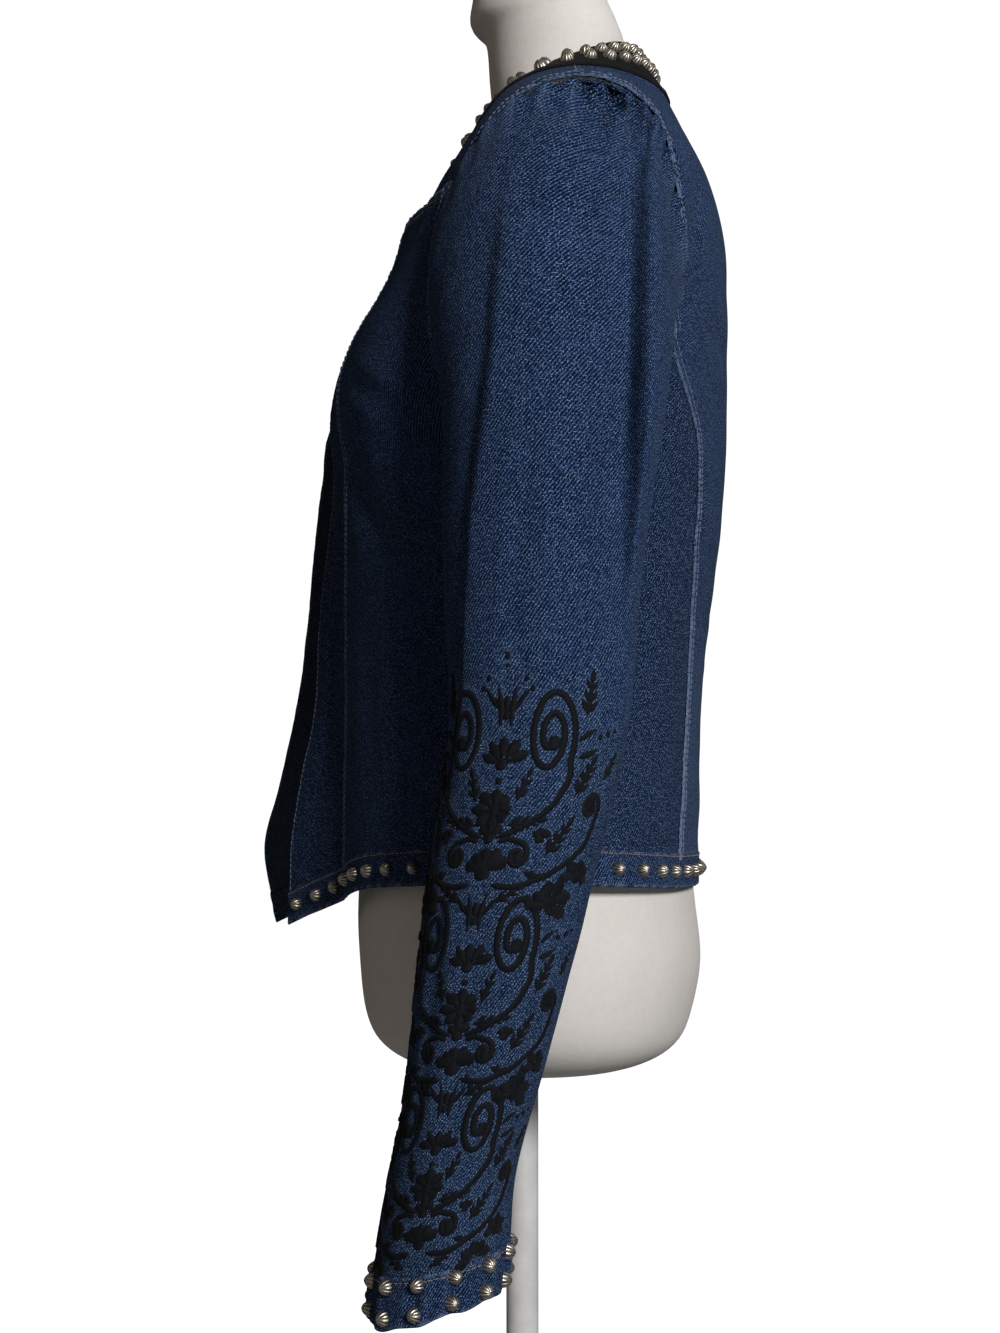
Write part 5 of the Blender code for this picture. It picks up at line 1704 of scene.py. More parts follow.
    def ring(self, angle: Array, z: Array) -> Array:
        """Point of the hanging sleeve at an angle about the arm."""
        x, y, half_depth, half_thickness, tilt = self.rings.at(z)
        across = half_depth * np.sin(np.radians(angle))
        return np.stack([x + half_thickness * np.cos(np.radians(angle)), y + across,
                         z + tilt * across], axis=-1)

    def fold(self, angle: Array, share: Array, side: int) -> Array:
        """Depth of the flat at the front, the folds and the creases."""
        turned = wrapped(angle)
        line, run = self.flat_line[0 if side > 0 else 1].at(share)
        into = np.clip((line - turned) / (line + 90.0), 0.0, 1.0)
        total = self.flat_depth * run * (into * 0.62 + 0.38 * ease((line - turned) / 8.0))
        for crease in self.folds:
            if crease.side == side:
                along = (share - crease.top) / (crease.end - crease.top)
                centre = mix(crease.across_top, crease.across_end, along)
                away = wrapped(angle - centre)
                total += crease.relief(along, away)
        return total * ease(share / 0.035)

    def point(self, angle: Array, share: Array, side: int,
              folded: bool = True) -> Array:
        """Point of the outer face: share 0 at the armhole, 1 at the hem's top.

        Args:
            angle: Angle about the arm: 0 outside, 90 back, -90 front.
            share: Share of the length.
            side: 1 for the wearer's left, -1 for the right.
            folded: Whether the folds are in it.

        Returns:
            The points.
        """
        angle, share = np.broadcast_arrays(np.asarray(angle, float),
                                           np.asarray(share, float))
        t = np.clip(share / self.head_share, 0.0, 1.0)[..., None]
        seam = self.torso.armhole(angle % 360.0)
        start, outward = self.torso.place(seam[0], seam[1], 1)
        end = self.ring(angle, np.full_like(share, self.top_z))
        reach = np.linalg.norm(end - start, axis=-1, keepdims=True) * self.fullness
        away = t[..., 0] * np.linalg.norm(end - start, axis=-1)
        lift = mix(self.tuck, DENIM + self.rise, ease(away / self.tuck_run))
        start = start + outward * lift[..., None]
        leave = np.stack([
            np.full_like(share, math.cos(math.radians(self.drop))),
            np.where(angle < 0.0, *self.bulges) * np.sin(np.radians(angle)),
            np.full_like(share, -math.sin(math.radians(self.drop)))], axis=-1)
        below = self.ring(angle, np.full_like(share, self.top_z - DIFFERENCE))
        arrive = unit(below - end)
        first = start + leave * reach
        second = end - arrive * reach * self.arrival
        early = mix(mix(start, first, t), mix(first, second, t), t)
        late = mix(mix(first, second, t), mix(second, end, t), t)
        head = mix(early, late, t)
        low = (share - self.head_share) / (1.0 - self.head_share)
        arm = self.ring(angle, mix(self.top_z, self.end_z + self.cuff, low))
        point = np.where((share < self.head_share)[..., None], head, arm)
        turned = wrapped(angle)
        reach = ease((118.0 - np.abs(turned)) / 32.0)
        if folded:
            point[..., 0] -= reach * self.fold(angle, share, side)
        return point * np.array([side, 1.0, 1.0])

    def flat_places(self, angle: Array, share: Array, side: int) -> Array:
        """Places of the cloth laid flat: round the arm, and up along its middle."""
        plain = self.point(angle, share, side, folded=False)
        z = plain[..., 2]
        middle = z.shape[1] // 2
        path = running(plain, 0)[:, middle]
        up = np.interp(z, z[::-1, middle], (path[-1] - path)[::-1])
        rings = self.rings.at(np.clip(z, self.end_z, self.top_z))
        across = 0.5 * (rings[2] + rings[3]) * np.radians(angle - angle[0, middle])
        return np.stack([across * side, up + np.minimum(z - z[-1, middle], 0.0)], axis=-1)

    def gather(self, angle: Array, away: Array, shift: float) -> Array:
        """Depth of the gathers at an angle and a distance below the armhole."""
        total = np.zeros_like(away)
        for turn, length, depth, width in self.gathers:
            lean = angle - turn - shift - 60.0 * away * math.sin(turn)
            total += 1.45 * depth * np.exp(-(lean / width) ** 2 - (away / length) ** 1.5)
        return total


class SleeveMap:
    """Places on a sleeve by distances across and down from a line on it."""

    def __init__(self, grid: ClothGrid, angles: Array, centre: float) -> None:
        """Lays the sleeve out on even distances.

        Args:
            grid: The sleeve's cloth, rows going down.
            angles: Angle of each column.
            centre: Angle of the line that distances are measured from.
        """
        run = running(grid.points, 1)
        column = counted(centre, angles)
        zero = between(run[..., None], np.arange(len(run), dtype=float),
                       np.full(len(run), column))[:, 0]
        self.across = run - zero[:, None]
        self.step, self.reach = 0.001, 0.11
        self.offsets = np.arange(-self.reach, self.reach + 0.1 * self.step, self.step)
        both = np.concatenate([grid.points, grid.outward], axis=-1)
        self.table = np.stack([
            np.stack([np.interp(self.offsets, self.across[row], both[row, :, k])
                      for k in range(6)], axis=-1)
            for row in range(len(run))])
        middle = self.table[:, int(round(self.reach / self.step)), :3]
        self.down = running(middle[None], 1)[0]

    def place(self, across: Array, down: Array, height: Array) -> Array:
        """Points at distances across and down, raised by a height."""
        rows = counted(down, self.down)
        columns = (across - self.offsets[0]) / self.step
        found = between(self.table, rows, columns)
        return found[..., :3] + unit(found[..., 3:]) * height[..., None]


@dataclass(frozen=True)
class Ribbon:
    """A shape of satin stitch: a path with a half width at each of its places."""

    path: Array
    half_width: Array
    height: float = 0.0007


def pattern_scale(size: float) -> Callable[[float], float]:
    """Function from millimetres of the pattern to metres, at a size of the pattern."""
    return lambda length: length * size * MM


@dataclass
class Scrollwork:
    """Mirrored scrolls, flowers, leaves and dots of a plain traditional kind."""

    top: float = 0.0
    repeats: tuple[tuple[float, float], ...] = ((0.0, 1.0), (0.102, 0.94), (0.196, 0.86))
    cord: float = 0.00170
    around: int = 6
    ribbons: list[Ribbon] = field(default_factory=list)

    def trace(self, path: Sequence[Any], half_width: float, ends: float = 0.12) -> None:
        """Cord of even width with rounded ends, along a path."""
        path = np.asarray(path, float)
        share = running(path[None], 1)[0]
        share = share / share[-1]
        taper = np.sqrt(np.clip(np.minimum(share, 1.0 - share) / ends, 0.0, 1.0))
        self.ribbons.append(Ribbon(path, half_width * taper))

    def leaf(self, base: Sequence[float], lean: float, length: float, width: float,
             bend: float = 0.0, blunt: float = 0.8) -> None:
        """Leaf or petal.

        Args:
            base: Where it starts, across and down.
            lean: Direction in degrees: 0 outwards, 90 down, -90 up.
            length: Its length.
            width: Its greatest width.
            bend: How far its tip turns, in degrees.
            blunt: How full it is: over 1 near its tip, under 1 near its base.
        """
        share = np.linspace(0.0, 1.0, 13)
        turn = np.radians(lean + bend * share)
        step = length / 12.0
        path = np.array(base) + np.stack([
            np.concatenate([[0.0], np.cumsum(np.cos(turn[1:]) * step)]),
            np.concatenate([[0.0], np.cumsum(np.sin(turn[1:]) * step)])], axis=-1)
        swell = np.sin(math.pi * share ** blunt)
        fray = 1.0 + 0.17 * np.sin(share * 33.0 + base[0] * 900.0 + lean)
        self.ribbons.append(Ribbon(path, width / 2.0 * np.maximum(swell, 0.0) * fray,
                                   0.0008))

    def dot(self, centre: Sequence[float], radius: float, tall: float = 1.0) -> None:
        """Dot, or an upright bead where tall is over 1."""
        share = np.linspace(-1.0, 1.0, 9)
        path = np.array(centre) + np.stack([np.zeros(9), share * radius * tall], axis=-1)
        self.ribbons.append(Ribbon(path, radius * np.sqrt(1.0 - share ** 2), 0.0008))

    def spiral(self, centre: Sequence[float], radii: Sequence[float], start: float,
               turns: float, half_width: float, lead: Sequence[Any] = ()) -> None:
        """Coil that narrows to its middle, with a lead-in drawn through given places."""
        angle = np.radians(start) + np.linspace(0.0, 2.0 * math.pi * turns, 64)
        shrink = 1.0 - 0.80 * np.linspace(0.0, 1.0, 64) ** 0.85
        coil = np.array(centre) + np.stack([radii[0] * shrink * np.cos(angle),
                                            radii[1] * shrink * np.sin(angle)], axis=-1)
        if len(lead):
            knots = np.vstack([np.array(lead, float), coil[0], coil[1]])
            coil = np.vstack([self.curve(knots)[:-2], coil])
        self.trace(coil, half_width, 0.03)
        self.dot(coil[-1], half_width * 1.9, 1.2)

    def curve(self, knots: Array) -> Array:
        """Smooth line through a few places."""
        table = Table(*[(float(number), *knot) for number, knot in enumerate(knots)])
        return table.at(np.linspace(0.0, len(knots) - 1.0, 8 * len(knots))).T

    def flower(self, centre: Sequence[float], petals: int, length: float, width: float,
               start: float = -90.0, spread: float = 360.0) -> None:
        """Petals fanned about a centre."""
        for number in range(petals):
            full = spread >= 360.0
            share = number / petals if full else number / (petals - 1) - 0.5
            self.leaf(centre, start + spread * share, length * (1.0 + 0.16 * math.sin(
                7.0 * number + length * 900.0)), width, blunt=1.7)
        self.dot(centre, width * 0.55)

    def frond(self, base: Sequence[float], lean: float, length: float,
              pairs: int) -> None:
        """Stem with pairs of leaflets and one at its tip."""
        ahead = np.array([math.cos(math.radians(lean)), math.sin(math.radians(lean))])
        base = np.array(base, float)
        self.trace([base + ahead * length * s for s in np.linspace(0.0, 1.0, 6)],
                   self.cord * 0.7)
        for number in range(pairs):
            spot = base + ahead * length * (number + 0.6) / (pairs + 0.4)
            size = length * (0.42 - 0.05 * number)
            for way in (-1.0, 1.0):
                self.leaf(spot, lean + way * 42.0, size, size * 0.42, -way * 16.0)
        self.leaf(base + ahead * length * 0.92, lean, length * 0.42, length * 0.18)

    def middle(self, top: float, size: float) -> None:
        """Shapes on the centre line of one repeat."""
        mm = pattern_scale(size)
        for down, radius, tall in ((-9.0, 1.4, 1.5), (-4.2, 1.1, 1.0), (52.0, 1.9, 1.0),
                                   (88.0, 1.6, 1.6)):
            self.dot((0.0, top + mm(down)), mm(radius), tall)
        for down, petals, length, width, spread in (
                (20.0, 3, 9.0, 4.2, 70.0), (44.0, 5, 13.0, 5.6, 130.0),
                (66.0, 8, 10.5, 6.6, 360.0), (80.0, 3, 7.5, 5.4, 80.0),
                (97.0, 5, 12.5, 7.4, 120.0)):
            self.flower((0.0, top + mm(down)), petals, mm(length),
                        mm(width), -90.0, spread)

    def half(self, side: float, top: float, size: float) -> None:
        """Shapes on one side of the centre line of one repeat."""
        mm = pattern_scale(size)

        def at(across: float, down: float) -> tuple[float, float]:
            return mm(side * across), top + mm(down)

        def way(lean: float) -> float:
            return lean if side > 0 else 180.0 - lean

        start = 28.0 if side > 0 else 152.0
        turns = -1.95 if side > 0 else 1.95
        self.spiral(at(23.0, 30.0), (mm(12.5), mm(25.5)), start, turns,
                    self.cord, [at(3.0, 80.0), at(13.0, 76.0), at(27.0, 66.0),
                                at(34.5, 52.0)])
        self.spiral(at(15.5, 89.0), (mm(5.8), mm(7.2)), way(-100.0),
                    1.35 * side, self.cord * 0.9, [at(5.0, 82.0), at(10.0, 80.5)])
        self.spiral(at(50.0, 66.0), (mm(6.0), mm(7.6)), way(14.0),
                    -1.3 * side, self.cord * 0.95,
                    [at(5.0, 103.0), at(18.0, 104.0), at(36.0, 97.0), at(50.0, 86.0)])
        self.leaf(at(37.0, 33.0), way(-42.0), mm(12.0), mm(3.4), 20 * side)
        self.leaf(at(37.5, 41.0), way(-8.0), mm(12.5), mm(3.8), -24 * side)
        for across, down, radius in ((49.0, 31.0, 1.5), (54.0, 29.5, 1.7),
                                     (59.0, 28.0, 1.2)):
            self.dot(at(across, down), mm(radius))
        self.leaf(at(3.0, 26.0), way(-98.0), mm(22.0), mm(3.2), 26 * side)
        self.leaf(at(4.5, 17.0), way(-62.0), mm(13.0), mm(2.4), 12 * side)
        for across, down in ((9.5, 2.0), (12.5, 7.0), (6.0, 34.0)):
            self.dot(at(across, down), mm(1.25), 1.3)
        for across, down, lean, length, pairs in (
                (7.0, 74.0, -8.0, 16.0, 3), (29.0, 90.0, -58.0, 18.0, 3),
                (10.0, 63.0, -72.0, 14.0, 2), (39.0, 61.0, -66.0, 18.0, 3),
                (40.0, 22.0, -82.0, 19.0, 3), (8.0, 112.0, -30.0, 13.0, 2),
                (55.0, 53.0, -60.0, 13.0, 2), (20.0, 97.0, 20.0, 10.0, 2)):
            self.frond(at(across, down), way(lean), mm(length), pairs)
        for across, down, petals, length, width, spread in (
                (36.0, 113.0, 6, 12.0, 7.4, 230.0), (50.0, 101.0, 5, 9.0, 6.2, 200.0),
                (25.0, 81.0, 3, 6.0, 4.4, 90.0)):
            self.flower(at(across, down), petals, mm(length), mm(width),
                        way(-80.0), spread)
        self.leaf(at(24.0, 108.0), way(70.0), mm(9.0), mm(3.4), 20 * side)

    def draw(self) -> None:
        """Draws every repeat."""
        for down, size in self.repeats:
            self.middle(self.top + down, size)
            for side in (1.0, -1.0):
                self.half(side, self.top + down, size)

    def sew(self, name: str, chart: SleeveMap, material: bpy.types.Material,
            limits: tuple[float, float]) -> bpy.types.Object:
        """Raises every shape on the sleeve.

        Args:
            name: Name of the piece.
            chart: Places on the sleeve.
            material: Finish of the thread.
            limits: Least and greatest distance down at which a shape may lie.

        Returns:
            The piece.
        """
        whole = bmesh.new()
        whole.loops.layers.uv.new("cloth")
        single = bpy.data.meshes.new("single_shape")
        turn = np.linspace(0.0, 2.0 * math.pi, self.around + 1)
        for ribbon in self.ribbons:
            down = ribbon.path[:, 1]
            if down.min() < limits[0] or down.max() > limits[1]:
                continue
            ahead = unit(np.gradient(ribbon.path, axis=0))
            sideways = np.stack([-ahead[:, 1], ahead[:, 0]], axis=-1)
            run = running(ribbon.path[None], 1)[0]
            width = ribbon.half_width[:, None] * np.cos(turn)[None]
            fullness = np.minimum(ribbon.half_width / 0.0011, 1.0)[:, None]
            height = ribbon.height * fullness * np.maximum(
                np.sqrt(np.abs(np.sin(turn))) * np.sign(np.sin(turn)), -0.55)[None]
            across = ribbon.path[:, :1] + sideways[:, :1] * width
            downs = ribbon.path[:, 1:] + sideways[:, 1:] * width
            places = chart.place(across, downs, height)
            count = len(run) - 1
            bm = bmesh.new()
            laid = bm.loops.layers.uv.new("cloth")
            verts = bmesh.ops.create_grid(bm, x_segments=count,
                                          y_segments=self.around, size=0.5)["verts"]
            spots = {}
            for vert in verts:
                column = round((vert.co.x + 0.5) * count)
                ring = round((vert.co.y + 0.5) * self.around)
                spots[vert] = (run[column], width[column, ring])
                vert.co = Vector(places[column, ring])
            for face in {face for vert in verts for face in vert.link_faces}:
                for loop in face.loops:
                    loop[laid].uv = spots[loop.vert]
            bmesh.ops.remove_doubles(bm, verts=verts, dist=2e-6)
            bmesh.ops.recalc_face_normals(bm, faces=bm.faces)
            bm.to_mesh(single)
            bm.free()
            whole.from_mesh(single)
        bpy.data.meshes.remove(single)
        made = finish_mesh(mesh_from(whole, name), material, math.radians(75.0))
        return dress(made, "denim")

    def halo(self, chart: SleeveMap, limits: tuple[float, float]) -> Array:
        """How faded the cloth is beside the stitching, on each place of the chart."""
        spots = [(place, width) for ribbon in self.ribbons
                 for place, width in zip(ribbon.path, ribbon.half_width)
                 if limits[0] < place[1] < limits[1]]
        tree = KDTree(len(spots))
        for number, (place, _) in enumerate(spots):
            tree.insert((*place, 0.0), number)
        tree.balance()
        down = np.broadcast_to(chart.down[:, None], chart.across.shape)
        found = np.zeros(down.shape)
        for index in np.ndindex(down.shape):
            if down[index] > limits[0] - 0.02:
                _, number, away = tree.find((chart.across[index], down[index], 0.0))
                bare = max(away - spots[number][1], 0.0)
                found[index] = math.exp(-(bare / 0.0045) ** 2)
        return found


@dataclass
class Sleeves:
    """Upper and under sleeves with their cuffs, embroidery and studs."""

    torso: Torso
    finishes: Finishes
    stitcher: Stitcher
    studs: StudSetter
    half_turn: float = 125.0
    axis: float = -19.0
    length: float = 0.60
    tuck: float = 0.004
    pattern_length: float = 0.300
    # How near to the armhole and to the sleeve's end the embroidery may come.
    pattern_limits: tuple[float, float] = (0.10, 0.004)
    cuff_studs: int = 12
    cuff_rows: tuple[float, float] = (0.0062, 0.0200)

    def sleeve_cloth(self, shape: SleeveShape, side: int, start: float, end: float,
                     columns: Array, seams: Sequence[Sewn]) -> tuple[ClothGrid, Array]:
        """Cloth of one piece of a sleeve, and the angle of each of its columns."""
        share = stations(self.length, 0.0030)
        share = np.concatenate([share, [1.0 + self.tuck / self.length]])
        angles = mix(start, end, columns)
        angle, along = np.broadcast_arrays(angles[None], share[:, None])
        grid = ClothGrid(shape.point(angle, along, side), side, side < 0,
                         shape.flat_places(angle, along, side))
        for sewn in seams:
            grid.sew(sewn)
        away = grid.away(Edge.FOOT)
        turned = wrapped(angle)
        gather = shape.gather(turned, away, 2.5 if side < 0 else 0.0)
        puff = 0.0024 * np.exp(-((away - 0.011) / 0.009) ** 2) * ease(
            (125.0 - np.abs(turned - 20.0)) / 60.0)
        gather = gather * ease(away / 0.004)
        # Painted shade: the cloth darkens down the lower half of the sleeve.
        grid.worn = grid.worn - 0.28 * ease((along - 0.50) / 0.18)
        grid.relief = grid.relief + puff - gather
        # Wear lightens the sleeve head below the armhole; painted shade darkens the
        # gather valleys and a strip about two millimetres wide beside the armhole seam.
        grid.worn = grid.worn + ease(away / 0.005) * np.exp(-away / 0.045) * (
            0.55 - 0.52 * gather / MM) - 1.1 * np.exp(-(away / 0.0022) ** 2)
        grid.relief += 0.00022 * ripple(away + 0.3 * grid.along(Edge.FOOT), 0.052, 7)
        cuff = grid.away(Edge.HEAD)
        wave = ripple(grid.along(Edge.HEAD), 0.0120, 90 + side)
        grid.relief += 0.00045 * wave * np.exp(-(cuff / 0.012) ** 2)
        grid.shape()
        for sewn in seams:
            self.stitcher.sew_edge(grid, sewn)
        return grid, angles

    def build_sleeve(self, word: str, side: int) -> None:
        """Makes one sleeve."""
        shape = SleeveShape(self.torso)
        seed = 70 if side > 0 else 75
        upper, angles = self.sleeve_cloth(
            shape, side, -self.half_turn, self.half_turn, stations(0.22, 0.0017),
            (Sewn(Edge.LEFT, SLEEVE_SEAM, seed=seed),
             Sewn(Edge.RIGHT, SLEEVE_SEAM, seed=seed + 1)))
        chart = SleeveMap(upper, angles, self.axis)
        length = float(chart.down[-1])
        scrolls = Scrollwork(top=length - self.pattern_length)
        scrolls.draw()
        limits = (self.pattern_limits[0], length - self.pattern_limits[1])
        upper.halo = scrolls.halo(chart, limits)
        made = cut_cloth(f"upper_sleeve_cloth_{word}", upper, SHELL_DENIM,
                         self.finishes.denim)
        dress(made, "denim", f"upper_sleeve_{word}")
        scrolls.sew(f"sleeve_embroidery_{word}", chart, self.finishes.satin, limits)
        under, _ = self.sleeve_cloth(
            shape, side, self.half_turn, 360.0 - self.half_turn, stations(0.09, 0.0028),
            (Sewn(Edge.LEFT, UNDER, seed=seed + 2),
             Sewn(Edge.RIGHT, UNDER, seed=seed + 3)))
        made = cut_cloth(f"under_sleeve_cloth_{word}", under, SHELL_DENIM,
                         self.finishes.denim)
        dress(made, "denim", f"under_sleeve_{word}")
        self.build_cuff(shape, word, side)

    def build_cuff(self, shape: SleeveShape, word: str, side: int) -> None:
        """Makes one turned and studded cuff."""
        around = np.linspace(0.0, 1.0, 121)
        rise = stations(shape.cuff, 0.0020)
        angle, up = np.broadcast_arrays(180.0 + 360.0 * around[None], rise[:, None])
        bottom = (0.0010 * np.sin(np.radians(3.0 * angle + 40.0))
                  + 0.0008 * np.sin(np.radians(9.0 * angle))) * (1.0 - up)
        points = shape.ring(angle, shape.end_z + up * shape.cuff + bottom)
        points = points * np.array([side, 1.0, 1.0])
        grid = ClothGrid(points, -side, flip=side < 0)
        grid.outward[:, 0] = grid.outward[:, -1] = unit(
            grid.outward[:, 1] + grid.outward[:, -2])
        wave = ripple(2.0 * math.pi * around, 2.0 * math.pi / 18.0, 91)
        wave = (wave + wave[::-1])[None] * 0.6
        grid.relief += 0.0006 + 0.0019 * wave * np.sin(math.pi * (0.15 + 0.7 * up))
        grid.roll(TURNED_ROLL)
        foot, head = grid.rubbed()
        # Wear along the turned edges and on the pucker ridges; painted shade darkens the
        # pucker troughs.
        grid.worn = (0.7 * foot + 0.5 * head) * (0.7 + 0.5 * wave) + 0.35 * wave
        grid.shape()
        grid.outward[:, 0] = grid.outward[:, -1] = unit(
            grid.outward[:, 1] + grid.outward[:, -2])
        self.stitcher.sew(*grid.line(Edge.HEAD, 0.0030), Thread.TAN)
        count = self.cuff_studs
        columns = np.tile((np.arange(count) + 0.5) / count, 2) * (len(around) - 1)
        rows = counted(np.repeat(self.cuff_rows, count) / shape.cuff, rise)
        made = cut_cloth(f"cuff_hem_{word}", grid, DOUBLED_DENIM, self.finishes.denim,
                         closed=True)
        dress(made, "denim", f"cuff_{word}")
        made = self.studs.build(f"cuff_studs_{word}", between(grid.points, rows, columns),
                                between(grid.outward, rows, columns), self.finishes)
        dress(made, "denim")

    def build(self) -> None:
        """Makes both sleeves."""
        for word, side in SIDES:
            self.build_sleeve(word, side)


# Form and stand ----------------------------------------------------------------------


@dataclass
class DressForm:
    """Limbless form with a plain neck and head, closed and smooth."""

    finishes: Finishes
    rings: tuple[tuple[float, ...], ...] = (
        (0.4340, 0.0800, 0.005, 0.0600, -0.0480, 2.2),
        (0.4380, 0.1120, 0.005, 0.0800, -0.0700, 2.2),
        (0.4480, 0.1360, 0.005, 0.0950, -0.0860, 2.2),
        (0.4650, 0.1500, 0.005, 0.1025, -0.0940, 2.2),
        (0.4950, 0.1580, 0.005, 0.1078, -0.0975, 2.2),
        (0.5300, 0.1600, 0.005, 0.1045, -0.0985, 2.2),
        (0.5800, 0.1560, 0.005, 0.0990, -0.0940, 2.2),
        (0.6400, 0.1330, 0.005, 0.0920, -0.0800, 2.2),
        (0.7000, 0.1180, 0.005, 0.0900, -0.0720, 2.2),
        (0.7600, 0.1300, 0.006, 0.1020, -0.0830, 2.2),
        (0.8150, 0.1480, 0.008, 0.1130, -0.1030, 2.3),
        (0.8600, 0.1540, 0.012, 0.1170, -0.0920, 2.3),
        (0.9050, 0.1590, 0.020, 0.1165, -0.0655, 2.2),
        (0.9450, 0.1600, 0.030, 0.1120, -0.0425, 2.0),
        (0.9650, 0.1520, 0.036, 0.1065, -0.0315, 1.8),
        (0.9800, 0.1300, 0.037, 0.1000, -0.0245, 1.7),
        (0.9970, 0.0880, 0.035, 0.0900, -0.0190, 1.8),
        (1.0150, 0.0590, 0.030, 0.0800, -0.0185, 1.9),
        (1.0350, 0.0480, 0.026, 0.0700, -0.0200, 2.0),
        (1.0600, 0.0460, 0.021, 0.0635, -0.0225, 2.0),
        (1.0720, 0.0470, 0.016, 0.0590, -0.0320, 2.0),
        (1.0900, 0.0500, 0.014, 0.0530, -0.0305, 2.0),
        (1.1150, 0.0590, 0.018, 0.0640, -0.0350, 2.0),
        (1.1500, 0.0680, 0.025, 0.0900, -0.0410, 2.0),
        (1.1850, 0.0700, 0.031, 0.1050, -0.0400, 2.0),
        (1.2200, 0.0660, 0.034, 0.1040, -0.0330, 2.0),
        (1.2500, 0.0530, 0.036, 0.0890, -0.0160, 2.0),
        (1.2700, 0.0330, 0.036, 0.0680, 0.0050, 2.0),
        (1.2780, 0.0140, 0.036, 0.0500, 0.0230, 2.0))
    around: int = 96
    up: int = 160
    crown: float = 0.002

    def build(self) -> None:
        """Makes the form."""
        table = Table(*[(float(number), *row) for number, row in enumerate(self.rings)])
        bm = bmesh.new()
        bmesh.ops.create_uvsphere(bm, u_segments=self.around, v_segments=self.up,
                                  radius=1.0)
        first = 1.0 / self.up
        for vert in bm.verts:
            latitude = 1.0 - math.acos(min(max(vert.co.z, -1.0), 1.0)) / math.pi
            angle = math.degrees(math.atan2(vert.co.x, vert.co.y))
            share = (latitude - first) / (1.0 - 2.0 * first)
            at_pole = share < -1e-6 or share > 1.0 + 1e-6
            z, half, centre, back, front, power = table.at(
                min(max(share, 0.0), 1.0) * (len(self.rings) - 1))
            depth = centre - front if abs(angle) > 90.0 else back - centre
            radius = 0.0 if at_pole else float(polar(angle, half, depth, power))
            rise = self.crown if at_pole and share > 0.5 else 0.0
            vert.co = Vector((radius * math.sin(math.radians(angle)),
                              centre + radius * math.cos(math.radians(angle)), z + rise))
        bmesh.ops.recalc_face_normals(bm, faces=bm.faces)
        dress(finish_mesh(mesh_from(bm, "form_body"), self.finishes.form), "form_shell",
              "dress_form")


@dataclass
class Stand:
    """Pole, socket and round base plate."""

    finishes: Finishes
    # Half outlines as radius and height, turned about the middle.
    outlines: tuple[tuple[str, str, tuple[tuple[float, float], ...]], ...] = (
        ("stand_pole", "pole",
         ((0.0, 0.0354), (0.0098, 0.0354), (0.0098, 0.4325), (0.0, 0.4325))),
        ("stand_socket", "pole_socket",
         ((0.0, 0.0074), (0.0200, 0.0074), (0.0200, 0.0110), (0.0172, 0.0270),
          (0.0160, 0.0354), (0.0, 0.0354))),
        ("stand_base", "base_plate",
         ((0.0, 0.0), (0.1500, 0.0), (0.1500, 0.0070), (0.0, 0.0070))))
    steps: int = 96
    bevel: float = 0.0014

    def build(self) -> None:
        """Turns each outline about the middle and rounds its edges."""
        for name, node, outline in self.outlines:
            bm = bmesh.new()
            verts = [bm.verts.new((radius, 0.0, z)) for radius, z in outline]
            edges = [bm.edges.new(pair) for pair in zip(verts, verts[1:])]
            bmesh.ops.spin(bm, geom=verts + edges, axis=(0.0, 0.0, 1.0),
                           cent=(0.0, 0.0, 0.0), angle=2.0 * math.pi, steps=self.steps,
                           use_merge=True)
            bmesh.ops.remove_doubles(bm, verts=bm.verts, dist=1e-6)
            bmesh.ops.recalc_face_normals(bm, faces=bm.faces)
            rims = [edge for edge in bm.edges if len(edge.link_faces) == 2
                    and edge.calc_face_angle(0.0) > math.radians(50.0)]
            bmesh.ops.bevel(bm, geom=rims, offset=self.bevel, affect="EDGES", segments=3,
                            profile=0.5, material=-1)
            made = finish_mesh(mesh_from(bm, name), self.finishes.paint,
                               math.radians(30.0))
            dress(made, "white_paint", node)


# Studio ------------------------------------------------------------------------------


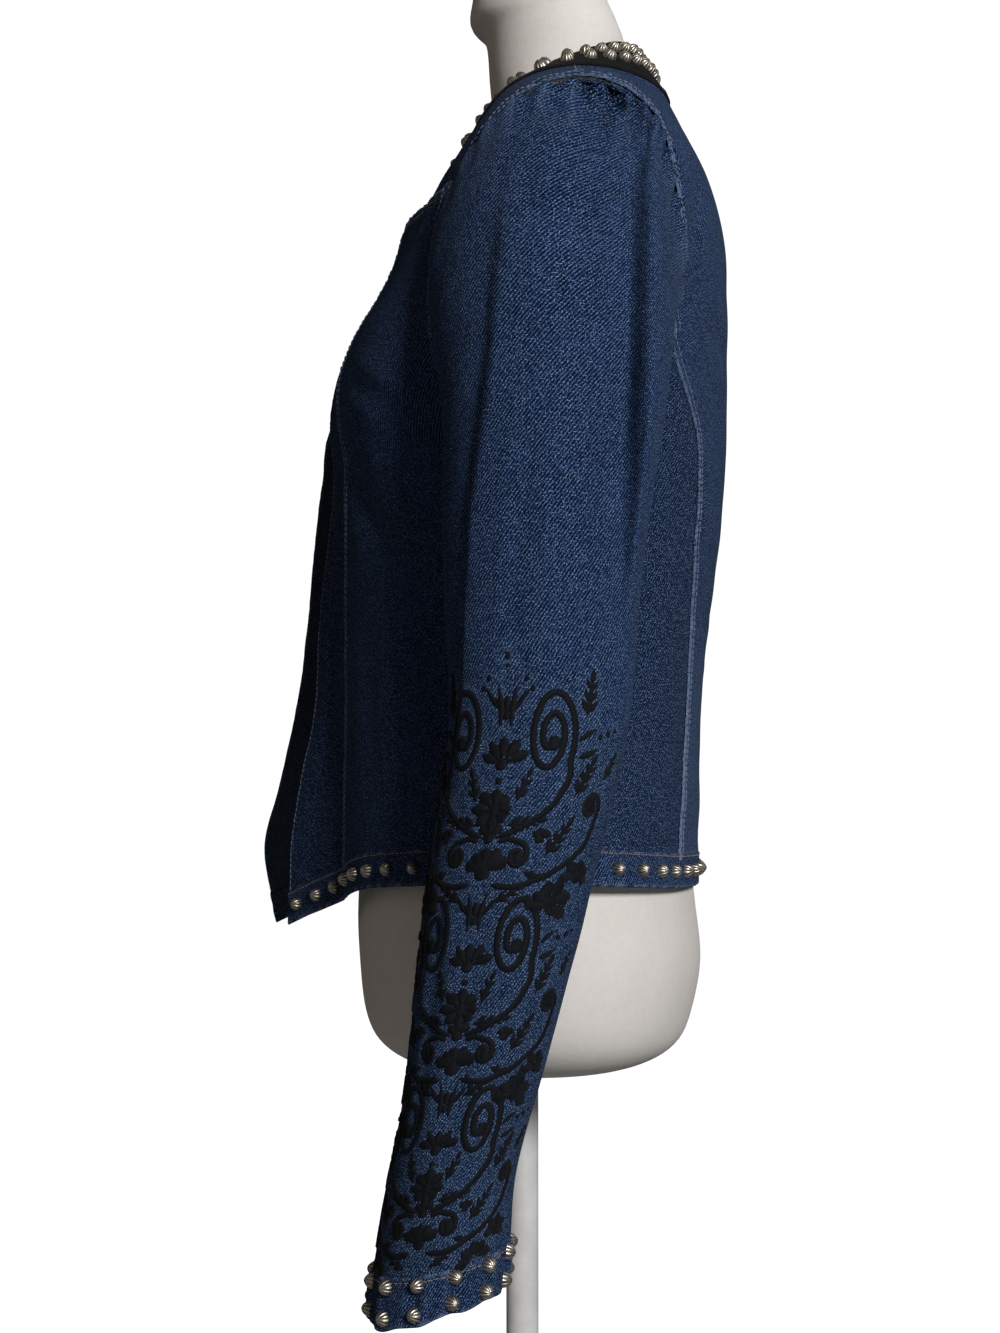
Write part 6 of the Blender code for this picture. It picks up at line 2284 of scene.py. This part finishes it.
@dataclass
class Studio:
    """Floor, lights and camera."""

    azimuth: float = 92.0
    pitch: float = 2.516
    eye: tuple[float, float, float] = (1.16929, 0.02723, 0.61878)
    lens: float = 34.2086
    floor_radius: float = 14.0
    aim: tuple[float, float, float] = (0.05, 0.02, 0.75)
    # Lights: name, place, power in watts, width and colour.
    lamps: tuple[tuple[Any, ...], ...] = (
        ("key", (2.48, 1.26, 1.74), 69.0, 0.6, (1.0, 1.0, 1.0)),
        ("back_fill", (-1.2, 1.7, 1.6), 4.0, 1.4, (1.0, 1.0, 1.0)),
        ("front_fill", (0.9, -1.9, 1.1), 2.2, 1.4, (1.0, 0.82, 0.64)))

    def lamp(self, name: str, place: Sequence[float], power: float, size: float,
             colour: Colour) -> None:
        """Soft square light turned to the middle of the jacket."""
        light = bpy.data.lights.new(name, "AREA")
        light.energy = power
        light.size = size
        light.color = colour
        made = added(name, light)
        made.location = place
        made.rotation_euler = (Vector(self.aim) - Vector(place)).to_track_quat(
            "-Z", "Y").to_euler()

    def floor(self) -> None:
        """Plain pale floor."""
        bm = bmesh.new()
        bmesh.ops.create_circle(bm, cap_ends=True, segments=128, radius=self.floor_radius)
        mesh = mesh_from(bm, "floor")
        shader = Shader("pale_floor", Roughness=0.9)
        shader.principled.inputs["Base Color"].default_value = (0.86, 0.86, 0.86, 1.0)
        places = shader.object_places()
        shader.feed("Roughness", 0.85 + shader.noise(places, 3.0) * 0.1)
        glow = shader.node("ShaderNodeEmission", {}, {"Color": (1.0, 1.0, 1.0, 1.0),
                                                      "Strength": 1.0})
        lit = shader.node("ShaderNodeAddShader", {}, {
            0: shader.principled.outputs[0], 1: glow.outputs[0]})
        dim = shader.node("ShaderNodeBsdfDiffuse", {}, {"Color": (0.25, 0.25, 0.25, 1.0)})
        seen = shader.node("ShaderNodeLightPath", {}, {})
        both = shader.node("ShaderNodeMixShader", {}, {
            0: seen.outputs["Is Camera Ray"], 1: dim.outputs[0], 2: lit.outputs[0]})
        output = next(node for node in shader.tree.nodes
                      if node.type == "OUTPUT_MATERIAL")
        shader.tree.links.new(both.outputs[0], output.inputs["Surface"])
        mesh.materials.append(shader.material)
        added("floor", mesh)

    def world(self) -> None:
        """White surroundings that light the scene only a little."""
        world = bpy.data.worlds.new("studio")
        bpy.context.scene.world = world
        world.use_nodes = True
        tree = world.node_tree
        dim = tree.nodes["Background"]
        dim.inputs["Color"].default_value = (0.92, 0.96, 1.0, 1.0)
        dim.inputs["Strength"].default_value = 0.03
        white = tree.nodes.new("ShaderNodeBackground")
        white.inputs["Color"].default_value = (1.0, 1.0, 1.0, 1.0)
        white.inputs["Strength"].default_value = 1.05
        seen = tree.nodes.new("ShaderNodeLightPath")
        both = tree.nodes.new("ShaderNodeMixShader")
        tree.links.new(seen.outputs["Is Camera Ray"], both.inputs[0])
        tree.links.new(dim.outputs[0], both.inputs[1])
        tree.links.new(white.outputs[0], both.inputs[2])
        tree.links.new(both.outputs[0], tree.nodes["World Output"].inputs["Surface"])

    def camera(self) -> None:
        """Camera at the left side, between the hem and the waist."""
        data = bpy.data.cameras.new("camera")
        data.sensor_fit = "VERTICAL"
        data.sensor_height = 24.0
        data.lens = self.lens
        data.clip_start = 0.01
        data.clip_end = 100.0
        made = added("camera", data)
        made.location = self.eye
        turn, tip = math.radians(self.azimuth), math.radians(self.pitch)
        ahead = Vector((-math.sin(turn) * math.cos(tip), math.cos(turn) * math.cos(tip),
                        math.sin(tip)))
        made.rotation_euler = ahead.to_track_quat("-Z", "Y").to_euler()
        bpy.context.scene.camera = made

    def build(self) -> None:
        """Makes the camera, the lights and the floor."""
        self.camera()
        self.world()
        self.floor()
        for lamp in self.lamps:
            self.lamp(*lamp)
        settings = bpy.context.scene.view_settings
        settings.view_transform = "Standard"
        settings.look = "None"


# Assembly ----------------------------------------------------------------------------


def main() -> None:
    """Builds every piece in order."""
    logging.basicConfig(level=logging.INFO, format="%(name)s: %(message)s")
    finishes = Finishes()
    torso = Torso()
    studs = StudSetter()
    studs.prepare()
    DressForm(finishes).build()
    Stand(finishes).build()
    stitcher = Stitcher()
    BodyPanels(torso, finishes, stitcher).build()
    Hems(torso, finishes, stitcher, studs).build()
    NeckBand(torso, finishes, studs).build()
    Sleeves(torso, finishes, stitcher, studs).build()
    stitcher.build("topstitching", finishes)
    bpy.data.meshes.remove(studs.template)
    Studio().build()


if __name__ == "__main__":
    main()
